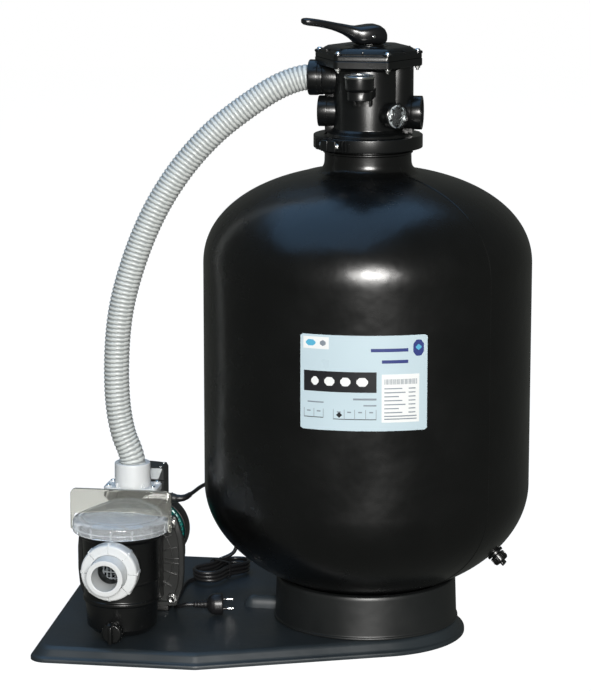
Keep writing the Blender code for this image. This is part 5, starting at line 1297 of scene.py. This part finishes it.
plug_place = Vector((POT_PLACE.x, -0.2500, DRAIN_HEIGHT))
drain_boss = bmesh.new()
lathe(drain_boss, softened([(0.0080, -0.0180), (0.0140, -0.0180), (0.0140, 0.0), (0.0080, 0.0)], 0.0008, 3,
                           ring=True), 48, plug_place, (0, -1, 0), ring=True)
put("pot_drain_boss", drain_boss, "root", [pump_black])
pot_plug = bmesh.new()
lathe(pot_plug, softened([(0, -0.0140), (0.0076, -0.0140), (0.0076, 0.0021), (0.0178, 0.0021),
                          (0.0178, 0.0130),
                          (0.0150, 0.0170), (0, 0.0170)], 0.0010), 56, plug_place, (0, -1, 0))
plug_frame = facing(plug_place, (0, -1, 0))
for number in range(16):
    turn = plug_frame @ Matrix.Rotation(2 * math.pi * number / 16, 4, "Z")
    round_box(pot_plug, (0.0168, -0.0010, 0.0030), (0.0186, 0.0010, 0.0132), 0.0004, 2, turn)
round_box(pot_plug, (-0.0028, -0.0150, 0.0150), (0.0028, 0.0150, 0.0300), 0.0016, 3, plug_frame)
pot_plug = put("pot_plug_moulding", pot_plug, "pot_plug", [pump_black], ["pot_drain_plug"])


# ---------------------------------------------------------------- strainer basket
# Grey moulded basket with a slotted wall and floor, hanging in the pot by its rim; it lifts out
# once the lid is off.
basket_grey = moulded("basket_grey", (0.30, 0.33, 0.35), 0.45, mottle=0.08, grain=0.00006)
BASKET_LOW, BASKET_HIGH, BASKET_FOOT, BASKET_TOP = 0.0580, 0.2153, 0.0480, 0.0545
basket = bmesh.new()
lathe(basket, softened([(0.0520, 0.2100), (0.0545, 0.2100), (0.0548, 0.2153), (0.0642, 0.2153),
                        (0.0642, 0.2178),
                        (0.0520, 0.2178)], 0.0006, 3, ring=True), 96, POT_PLACE, ring=True)
lathe(basket, softened([(0.0420, 0.0580), (0.0480, 0.0580), (0.0484, 0.0660), (0.0462, 0.0660),
                        (0.0458, 0.0605),
                        (0.0420, 0.0605)], 0.0005, 2, ring=True), 96, POT_PLACE, ring=True)
HOOPS, STAVES = 13, 44
for hoop in range(HOOPS):
    share = (hoop + 1) / (HOOPS + 1)
    height = BASKET_LOW + 0.006 + (BASKET_HIGH - BASKET_LOW - 0.010) * share
    radius = BASKET_FOOT + (BASKET_TOP - BASKET_FOOT) * (height - BASKET_LOW) / (BASKET_HIGH - BASKET_LOW)
    lathe(basket, [(radius - 0.0022, height - 0.0011), (radius - 0.0002, height - 0.0011),
                   (radius - 0.0002, height + 0.0011), (radius - 0.0022, height + 0.0011)], 72, POT_PLACE,
          ring=True)
for stave in range(STAVES):
    angle = 2 * math.pi * stave / STAVES
    out = Vector((math.cos(angle), math.sin(angle), 0))
    route = [POT_PLACE + out * (BASKET_FOOT - 0.0010) + Vector((0, 0, BASKET_LOW + 0.004)),
             POT_PLACE + out * (BASKET_TOP - 0.0011) + Vector((0, 0, 0.2120))]
    tube(basket, route, [0.0011, 0.0011], sides=8)
for ring_number in range(4):
    radius = 0.0080 + ring_number * 0.0105
    lathe(basket, [(radius, 0.0582), (radius + 0.0030, 0.0582), (radius + 0.0030, 0.0603),
                   (radius, 0.0603)], 64,
          POT_PLACE, ring=True)
for spoke in range(16):
    turn = Matrix.Translation(POT_PLACE) @ Matrix.Rotation(2 * math.pi * spoke / 16, 4, "Z")
    round_box(basket, (0.0085, -0.0010, 0.0583), (0.0440, 0.0010, 0.0602), 0.0003, 1, turn)
handle_arc = [POT_PLACE + Vector((0.0530 * math.cos(math.radians(a)), 0.0,
                                  0.2166 + 0.0100 * math.sin(math.radians(a)))) for a in range(0, 181, 12)]
tube(basket, handle_arc, [0.0016] * len(handle_arc), sides=10)
basket = put("basket_moulding", basket, "basket", [basket_grey], ["strainer_basket"])


# ---------------------------------------------------------------- strainer lid
# Clear polycarbonate bayonet lid: a shallow dome, a skirt with upright grip ribs that turns onto the
# pot's rim, and a tall clear wall across it with rounded corners as the handle.
lid_clear = clear("lid_clear", (0.90, 0.93, 0.95), 0.06, haze=0.05, ior=1.42, scatter=0.20)
wall_clear = clear("wall_clear", (0.58, 0.58, 0.53), 0.08, haze=0.04, ior=1.33, scatter=0.14)
LID_RIM, LID_SKIRT_LOW, LID_SKIRT_HIGH, LID_RIBS = 0.0812, 0.2100, 0.2275, 14
WALL_REACH, WALL_HALF, WALL_HIGH, WALL_CORNER = 0.0870, 0.0028, 0.2790, 0.0105
lid = bmesh.new()
lid_line = [(0, 0.2345), (0.0600, 0.2298), (0.0736, 0.2298), (0.0736, LID_SKIRT_LOW),
            (LID_RIM, LID_SKIRT_LOW),
            (LID_RIM, LID_SKIRT_HIGH), (0.0800, 0.2300), (0.0700, 0.2343), (0.0690, 0.2336),
            (0.0640, 0.2336),
            (0.0620, 0.2350), (0.0300, 0.2385), (0, 0.2395)]
lathe(lid, softened(lid_line, 0.0010), 144, POT_PLACE)
lid = put("lid_dome", lid, "lid", [lid_clear], ["strainer_lid"])
lid_ribs = bmesh.new()
for number in range(LID_RIBS):
    turn = Matrix.Translation(POT_PLACE) @ Matrix.Rotation(2 * math.pi * (number + 0.5) / LID_RIBS, 4, "Z")
    round_box(lid_ribs, (LID_RIM + 0.0001, -0.0010, LID_SKIRT_LOW + 0.0010),
              (LID_RIM + 0.0013, 0.0010, LID_SKIRT_HIGH - 0.001), 0.0004, 2, turn)
lathe(lid_ribs, softened([(LID_RIM + 0.0001, 0.2172), (LID_RIM + 0.0010, 0.2176),
                          (LID_RIM + 0.0010, 0.2188),
                          (LID_RIM + 0.0001, 0.2192)], 0.0003, 2, ring=True), 144, POT_PLACE, ring=True)
put("lid_grip_ribs", lid_ribs, "lid", [lid_clear])
lid_wall = bmesh.new()
lid_low = [(-WALL_REACH, 0.2085), (-0.0826, 0.2085), (-0.0826, 0.2310), (-0.0790, 0.2362),
           (-0.0620, 0.2365),
           (-0.0300, 0.2402), (0.0300, 0.2402), (0.0620, 0.2365), (0.0790, 0.2362), (0.0826, 0.2310),
           (0.0826, 0.2085), (WALL_REACH, 0.2085)]
crown = []
for first, middle_x in ((0, 1), (90, -1)):
    for step in range(9):
        angle = math.radians(first + 90 * step / 8)
        crown.append((middle_x * (WALL_REACH - WALL_CORNER) + WALL_CORNER * math.cos(angle),
                      WALL_HIGH - WALL_CORNER + WALL_CORNER * math.sin(angle)))
wall_outline = softened(lid_low, 0.0010, 2) + crown
WALL_EASE = 0.0007
layers = []
for y, ease in ((-WALL_HALF, WALL_EASE), (-WALL_HALF + WALL_EASE, 0.0), (WALL_HALF - WALL_EASE, 0.0),
                (WALL_HALF, WALL_EASE)):
    layers.append([POT_PLACE + Vector((x * (1 - ease / WALL_REACH), y, z - (ease if z > 0.25 else 0.0)))
                   for x, z in wall_outline])
stack(lid_wall, layers)
put("lid_wall", lid_wall, "lid", [wall_clear])


# ---------------------------------------------------------------- suction union
# White PVC union on the pot's spigot: a socket end for the pool pipe with an O-ring face, and a
# coupling nut with grip ribs that draws it up.
UNION_PLACE = Vector((POT_PLACE.x, -0.2685, SUCTION_HEIGHT))
union_frame = facing(UNION_PLACE, (0, -1, 0))
tail = bmesh.new()
lathe(tail, softened([(0.0215, 0.0003), (0.0365, 0.0003), (0.0365, 0.0060), (0.0315, 0.0075),
                      (0.0313, 0.0200),
                      (0.0308, 0.0465), (0.0302, 0.0471), (0.0228, 0.0471), (0.0222, 0.0462),
                      (0.0215, 0.0180)],
                     0.0008, 3, ring=True), 120, UNION_PLACE, (0, -1, 0), ring=True)
tail = put("union_socket", tail, "union_tail", [fitting_white], ["suction_tail"])
nut = bmesh.new()
lathe(nut, softened([(0.0404, -0.0130), (0.0472, -0.0130), (0.0482, -0.0110), (0.0482, 0.0110),
                     (0.0470, 0.0140),
                     (0.0455, 0.0150), (0.0320, 0.0150), (0.0320, 0.0082), (0.0404, 0.0068)], 0.0010, 3,
                    ring=True), 144, UNION_PLACE, (0, -1, 0), ring=True)
NUT_RIBS = 8
nut_grooves = bmesh.new()
for number in range(NUT_RIBS):
    turn = union_frame @ Matrix.Rotation(2 * math.pi * number / NUT_RIBS, 4, "Z")
    round_box(nut, (0.0470, -0.0026, -0.0122), (0.0495, 0.0026, 0.0100), 0.0009, 2, turn)
    round_box(nut_grooves, (0.0335, -0.0011, 0.0112), (0.0520, 0.0011, 0.0172), 0.0002, 1, turn)
nut = put("union_nut_moulding", nut, "union_nut", [fitting_white], ["suction_nut"])
carve(nut, nut_grooves)
nut.data.set_sharp_from_angle(angle=math.radians(38))


# ---------------------------------------------------------------- pump casing
# Black glass-filled volute with stiffening rings and radial webs on its face, a squarish outlet neck
# on top and the flat pad for the outlet's flange.
CASING_PLACE = Vector((POT_PLACE.x, 0.0, SHAFT_HEIGHT))
casing_black = moulded("casing_black", (0.0085, 0.0085, 0.0082), 0.38, mottle=0.25, haze=0.08,
                       grain=0.00012,
                       grain_size=0.0012)


casing = bmesh.new()
casing_line = [(0.0220, -0.0980), (0.0700, -0.0980), (0.0740, -0.0945), (0.0765, -0.0900),
               (0.0765, -0.0545),
               (0.0810, -0.0520), (0.0810, -0.0400), (0.0660, -0.0400), (0.0660, -0.0880),
               (0.0220, -0.0880)]
lathe(casing, softened(casing_line, 0.0016, 4, ring=True), 144, CASING_PLACE, (0, 1, 0), ring=True)
for radius, reach in ((0.0770, -0.0905), (0.0780, -0.0780), (0.0790, -0.0665)):
    lathe(casing, softened([(radius - 0.0040, reach), (radius + 0.0006, reach + 0.0006),
                            (radius + 0.0006, reach + 0.0026), (radius - 0.0040, reach + 0.0032)], 0.0006,
                           2,
                           ring=True), 144, CASING_PLACE, (0, 1, 0), ring=True)
casing_frame = Matrix.Translation(CASING_PLACE) @ Matrix.Rotation(math.radians(-90), 4, "X")
for number in range(24):
    turn = casing_frame @ Matrix.Rotation(math.radians(15 * number + 7.5), 4, "Z")
    round_box(casing, (0.0745, -0.0010, -0.0900), (0.0795, 0.0010, -0.0515), 0.0005, 2, turn)
casing = put("casing_moulding", casing, "root", [casing_black], ["volute"])
outlet = bmesh.new()
outlet_lift = [(0.0240, 0.0190, 0.1960, 0.010), (0.0235, 0.0190, 0.2300, 0.010),
               (0.0300, 0.0220, 0.2385, 0.010),
               (0.0460, 0.0262, 0.2398, 0.0110)]
outlet_rings = []
for half_x, half_y, height, corner in outlet_lift:
    outline = rounded([(-half_x, -half_y), (half_x, -half_y), (half_x, half_y), (-half_x, half_y)],
                      corner, 8)
    outlet_rings.append([Vector(SOCKET_PLACE) + Vector((p.x, p.y, height)) for p in outline])
stack(outlet, outlet_rings)
flat_ring(outlet, 0.0475, 0.0275, 0.0120, 0.0150, 0.2398, 0.2467, SOCKET_PLACE)
for x in (-0.0400, 0.0400):
    round_box(outlet, (SOCKET_PLACE[0] + x - 0.0015, SOCKET_PLACE[1] - 0.0180, 0.2200),
              (SOCKET_PLACE[0] + x + 0.0015, SOCKET_PLACE[1] + 0.0180, 0.2405), 0.0006, 2)
outlet = put("outlet_neck", outlet, "root", [casing_black])


# ---------------------------------------------------------------- motor bracket and foot
# Black glass-filled back plate of the pump: it closes the casing, carries the shaft seal and the
# motor, and stands on a ribbed foot screwed to the plinth.
bracket = bmesh.new()
lathe(bracket, softened([(0.0085, -0.0397), (0.0810, -0.0397), (0.0810, -0.0290), (0.0600, -0.0290),
                         (0.0560, -0.0240), (0.0250, -0.0240), (0.0250, -0.0130), (0.0163, -0.0130),
                         (0.0163, -0.0270), (0.0085, -0.0270)], 0.0010, 3, ring=True), 120, CASING_PLACE,
      (0, 1, 0), ring=True)
bracket = put("bracket_plate", bracket, "root", [casing_black], ["motor_bracket"])
foot_block = bmesh.new()
round_box(foot_block, (POT_PLACE.x - 0.0520, -0.0390, 0.0253), (POT_PLACE.x + 0.0520, -0.0002, 0.0390),
          0.0020, 3)
round_box(foot_block, (POT_PLACE.x - 0.0300, -0.0390, 0.0350), (POT_PLACE.x + 0.0300, -0.0295, 0.0900),
          0.0020, 3)
for x in (-0.0285, -0.0095, 0.0095, 0.0285):
    round_box(foot_block, (POT_PLACE.x + x - 0.0017, -0.0340, 0.0380),
              (POT_PLACE.x + x + 0.0017, -0.0050, 0.0620),
              0.0008, 2)
put("bracket_foot", foot_block, "root", [casing_black])
foot_screws = bmesh.new()
for x in (-0.0420, 0.0420):
    middle = Vector((POT_PLACE.x + x, -0.0160, 0.0388))
    lathe(foot_screws, softened([(0, 0), (0.0075, 0), (0.0075, 0.0012), (0, 0.0012)], 0.0004), 32, middle)
    hexagon_head(foot_screws, 0.0100, 0.0060, middle, (0, 0, 1), dish=0.0012)
put("foot_screws", foot_screws, "root", [bright_steel])


# ---------------------------------------------------------------- motor
# Teal-painted finned aluminium housing with end lips, and a black fan cover with air slots that
# pushes over its back end. Copper windings, shaft, bearings and fan turn inside it.
teal = moulded("teal_paint_gloss", (0.006, 0.200, 0.175), 0.30, mottle=0.14, haze=0.06, grain=0.00010,
               grain_size=0.0012, peel=0.0003)
FIN_BASE, FIN_TIP, MOTOR_FRONT, MOTOR_REAR = 0.0525, 0.0580, -0.0286, 0.0950
motor = bmesh.new()
motor_line = [(0.0500, MOTOR_FRONT), (0.0576, MOTOR_FRONT), (0.0580, MOTOR_FRONT + 0.0006),
              (0.0580, MOTOR_FRONT + 0.0110), (FIN_BASE, MOTOR_FRONT + 0.0125), (FIN_BASE, 0.0780),
              (0.0560, 0.0790), (0.0560, MOTOR_REAR), (0.0500, MOTOR_REAR)]
lathe(motor, softened(motor_line, 0.0008, 3, ring=True), 144, CASING_PLACE, (0, 1, 0), ring=True)
FINS = 40
for number in range(FINS):
    angle = 360.0 * (number + 0.5) / FINS
    if 62 < angle < 118:
        continue
    turn = casing_frame @ Matrix.Rotation(math.radians(-angle), 4, "Z")
    round_box(motor, (FIN_BASE - 0.0015, -0.0011, MOTOR_FRONT + 0.0110), (FIN_TIP, 0.0011, 0.0780),
              0.0008, 2, turn)
motor = put("motor_fins", motor, "root", [teal], ["motor_housing"])
cover_black = moulded("fan_cover_black", (0.0085, 0.0090, 0.0095), 0.42, mottle=0.2, haze=0.06,
                      grain=0.00010)
hood = bmesh.new()
lathe(hood, softened([(0.0586, 0.0800), (0.0608, 0.0800), (0.0608, 0.1160), (0.0560, 0.1212),
                      (0.0540, 0.1230),
                      (0, 0.1230), (0, 0.1205), (0.0530, 0.1205), (0.0586, 0.1150)], 0.0012), 120,
      CASING_PLACE,
      (0, 1, 0))
hood = put("fan_hood", hood, "root", [cover_black], ["fan_cover"])
slots = bmesh.new()
for ring_radius, count, reach in ((0.0450, 24, 0.0080), (0.0330, 18, 0.0070), (0.0215, 12, 0.0060)):
    for number in range(count):
        turn = casing_frame @ Matrix.Rotation(2 * math.pi * number / count, 4, "Z")
        low, high = (ring_radius - reach / 2, -0.0016, 0.1190), (ring_radius + reach / 2, 0.0016, 0.1250)
        round_box(slots, low, high, 0.0010, 2, turn)
carve(hood, slots)
hood.data.set_sharp_from_angle(angle=math.radians(38))


# ---------------------------------------------------------------- terminal box
# Black plastic box on the motor's top with a screwed flat cover, a cable gland towards the tank and
# a plain printed rating patch on its front.
BOX_MIDDLE, BOX_HALF, BOX_Y = -0.3950, 0.0378, (0.0, 0.0420)
BOX_LOW, BOX_SPLIT, BOX_SHOULDER, BOX_HIGH = 0.1700, 0.2500, 0.2740, 0.2755
CROWN_HALF, CROWN_RISE = 0.0275, 0.0015
box_black = moulded("box_black", (0.022, 0.024, 0.024), 0.42, mottle=0.2, haze=0.06, grain=0.00010)
patch_grey = moulded("patch_grey", (0.50, 0.53, 0.54), 0.35, mottle=0.05, grain=0.00003)


def box_slice(corners, centre_z, inset, y):
    """One upright outline of the box, drawn in all round by the inset."""
    shrink = 1 - inset / BOX_HALF
    return [Vector((BOX_MIDDLE + x * shrink, y, centre_z + (z - centre_z) * shrink)) for x, z in corners]


BOX_LAYERS = ((0.0012, BOX_Y[0]), (0.0, BOX_Y[0] + 0.0012), (0.0, BOX_Y[1] - 0.0012), (0.0012, BOX_Y[1]))
box = bmesh.new()
case_corners = [(-BOX_HALF, BOX_LOW), (BOX_HALF, BOX_LOW), (BOX_HALF, BOX_SPLIT), (-BOX_HALF, BOX_SPLIT)]
stack(box, [box_slice(case_corners, 0.2220, inset, y) for inset, y in BOX_LAYERS])
box = put("terminal_case", box, "root", [box_black], ["terminal_box"])
saddle = bmesh.new()
lathe(saddle, [(0, -0.010), (0.0584, -0.010), (0.0584, 0.085), (0, 0.085)], 120, CASING_PLACE, (0, 1, 0))
carve(box, saddle)
box.data.set_sharp_from_angle(angle=math.radians(38))
box_cover = bmesh.new()
crown_radius = (CROWN_HALF ** 2 + CROWN_RISE ** 2) / (2 * CROWN_RISE)
cover_corners = [(-BOX_HALF, BOX_SPLIT + 0.0008), (BOX_HALF, BOX_SPLIT + 0.0008),
                 (BOX_HALF, BOX_SHOULDER - 0.0060), (BOX_HALF - 0.0035, BOX_SHOULDER)]
for step in range(9):
    x = CROWN_HALF * (1 - step / 4)
    cover_corners.append((x, BOX_HIGH - crown_radius + math.sqrt(crown_radius ** 2 - x * x)))
cover_corners += [(-BOX_HALF + 0.0035, BOX_SHOULDER), (-BOX_HALF, BOX_SHOULDER - 0.0060)]
stack(box_cover, [box_slice(cover_corners, 0.2690, inset, y) for inset, y in BOX_LAYERS])
put("terminal_cover", box_cover, "root", [box_black])
box_trim = bmesh.new()
for x in (-0.0305, 0.0305):
    for y in (BOX_Y[0] + 0.0065, BOX_Y[1] - 0.0065):
        lathe(box_trim, softened([(0, BOX_SHOULDER - 0.0012), (0.0034, BOX_SHOULDER - 0.0012),
                                  (0.0032, BOX_SHOULDER + 0.0006), (0.0014, BOX_SHOULDER + 0.0006),
                                  (0.0010, BOX_SHOULDER - 0.0002), (0, BOX_SHOULDER - 0.0002)], 0.0002), 24,
              (BOX_MIDDLE + x, y, 0))
put("terminal_screws", box_trim, "root", [bright_steel])
patch = bmesh.new()
patch_corners = [(0.0096, 0.2722), (0.0150, 0.2530), (0.0275, 0.2530), (0.0350, 0.2722)]
stack(patch, [[Vector((BOX_MIDDLE + p.x, y, p.y)) for p in rounded(patch_corners, 0.0015, 3)]
              for y in (BOX_Y[0] - 0.0005, BOX_Y[0] + 0.0010)])
for line in range(4):
    height = 0.2695 - line * 0.0040
    round_box(patch, (BOX_MIDDLE + 0.0150, BOX_Y[0] - 0.0007, height - 0.0006),
              (BOX_MIDDLE + 0.0285 - 0.0012 * line, BOX_Y[0], height + 0.0006), 0.0001, 1, None, finish=1)
put("rating_patch", patch, "root", [patch_grey, label_grey])
gland = bmesh.new()
gland_place = (-0.3510, 0.0300, 0.2120)
lathe(gland, softened([(0, -0.0070), (0.0092, -0.0070), (0.0092, 0.0022), (0.0086, 0.0024),
                       (0.0086, 0.0050),
                       (0.0070, 0.0100), (0, 0.0100)], 0.0005), 40, gland_place, (1, 0, 0))
hexagon_head(gland, 0.0180, 0.0024, Vector(gland_place) + Vector((0.0004, 0, 0)), (1, 0, 0))
gland = put("gland_body", gland, "root", [box_black], ["cable_gland"])


# ---------------------------------------------------------------- inner pieces and seals
# Pieces that are out of sight or barely seen keep their modelled shape: seals, the valve's rotor and
# spring, the tank's centre pipe, hub and slotted arms, and the motor's shaft, fan and windings.
inner_white = moulded("inner_white", (0.70, 0.71, 0.70), 0.40, mottle=0.06, haze=0.06, grain=0.00008)
winding_copper = moulded("winding_copper", (0.45, 0.16, 0.06), 0.35, mottle=0.3, haze=0.1, grain=0.00020,
                         metallic=1.0, grain_size=0.0006)
INNER_FINISHES = {
    "neck_seal": rubber_black, "spider_gasket": rubber_black, "tank_drain_seal": rubber_black,
    "pot_drain_seal": rubber_black, "shaft_seal": rubber_black, "lid_seal": rubber_black,
    "valve_rotor": inner_white, "standpipe": inner_white, "lateral_hub": inner_white,
    "impeller": inner_white, "cooling_fan": valve_black, "rotor_spring": bright_steel,
    "motor_shaft": bright_steel, "front_bearing": bright_steel, "rear_bearing": bright_steel,
    "stator": winding_copper,
}
for number in range(1, 7):
    INNER_FINISHES[f"lateral_{number}"] = inner_white
for name, finish in INNER_FINISHES.items():
    node = cad_nodes[name]
    for slot in node.material_slots:
        slot.material = finish


# ---------------------------------------------------------------- lights, floor and wall
# A broad soft lamp and a long strip lamp behind the eye, a wide blue panel overhead, a plain pale
# floor and a pale wall all round. Floor and wall are seen directly but kept out of the reflections.
world = bpy.context.scene.world or bpy.data.worlds.new("world")
bpy.context.scene.world = world
world.use_nodes = True
surround = world.node_tree.nodes["Background"]
surround.inputs["Color"].default_value = (0.95, 1.0, 0.92, 1.0)
surround.inputs["Strength"].default_value = 0.10


def soft_light(name, place, target, size_x, size_y, power, colour):
    """A rectangular area light aimed at a point."""
    data = bpy.data.lights.new(name, "AREA")
    data.shape = "RECTANGLE"
    data.size, data.size_y = size_x, size_y
    data.energy = power
    data.color = colour
    made = bpy.data.objects.new(name, data)
    made.location = place
    made.rotation_euler = (Vector(target) - Vector(place)).to_track_quat("-Z", "Y").to_euler()
    bpy.context.scene.collection.objects.link(made)
    return made


soft_light("key", (1.38, -7.15, 2.40), (0.0, 0.0, 0.60), 2.0, 1.9, 640, (1.0, 0.98, 0.95))
soft_light("sky", (-0.9, 0.2, 4.1), (-0.1, 0.0, 0.5), 5.5, 4.0, 82, (0.28, 0.58, 1.0))
strip = soft_light("strip", (1.30, -7.10, 2.40), (0.0, 0.0, 0.60), 3.8, 1.0, 240, (1.0, 0.99, 0.97))
strip.visible_diffuse = False


def pale(name, glow, tone):
    """Finish of the floor or the wall: a matt pale paint with a faint glow of its own."""
    finish = bpy.data.materials.new(name)
    finish.use_nodes = True
    shader = finish.node_tree.nodes["Principled BSDF"]
    shader.inputs["Base Color"].default_value = (tone, tone, tone, 1.0)
    shader.inputs["Roughness"].default_value = 0.9
    shader.inputs["Specular IOR Level"].default_value = 0.0
    shader.inputs["Emission Color"].default_value = (1.0, 1.0, 1.0, 1.0)
    shader.inputs["Emission Strength"].default_value = glow
    return finish


FLOOR_REACH, FLOOR_TOP, WALL_RADIUS, WALL_TOP = 9.0, -0.0005, 9.0, 9.0
floor = bmesh.new()
lathe(floor, [(0, FLOOR_TOP - 0.02), (FLOOR_REACH, FLOOR_TOP - 0.02), (FLOOR_REACH, FLOOR_TOP),
              (0, FLOOR_TOP)], 96)
wall = bmesh.new()
lathe(wall, [(WALL_RADIUS, -0.5), (WALL_RADIUS, WALL_TOP * 0.7), (WALL_RADIUS * 0.7, WALL_TOP),
             (0, WALL_TOP),
             (0, WALL_TOP + 0.1), (WALL_RADIUS * 0.7 + 0.05, WALL_TOP + 0.1),
             (WALL_RADIUS + 0.1, WALL_TOP * 0.7 + 0.05),
             (WALL_RADIUS + 0.1, -0.5)], 96)
for name, bm, finish in (("floor", floor, pale("floor_paint", 0.97, 0.20)),
                         ("wall", wall, pale("wall_paint", 1.0, 0.0))):
    bmesh.ops.recalc_face_normals(bm, faces=bm.faces)
    mesh = bpy.data.meshes.new(name)
    bm.to_mesh(mesh)
    bm.free()
    mesh.materials.append(finish)
    made = bpy.data.objects.new(name, mesh)
    made.visible_glossy = False
    made.visible_diffuse = False
    bpy.context.scene.collection.objects.link(made)
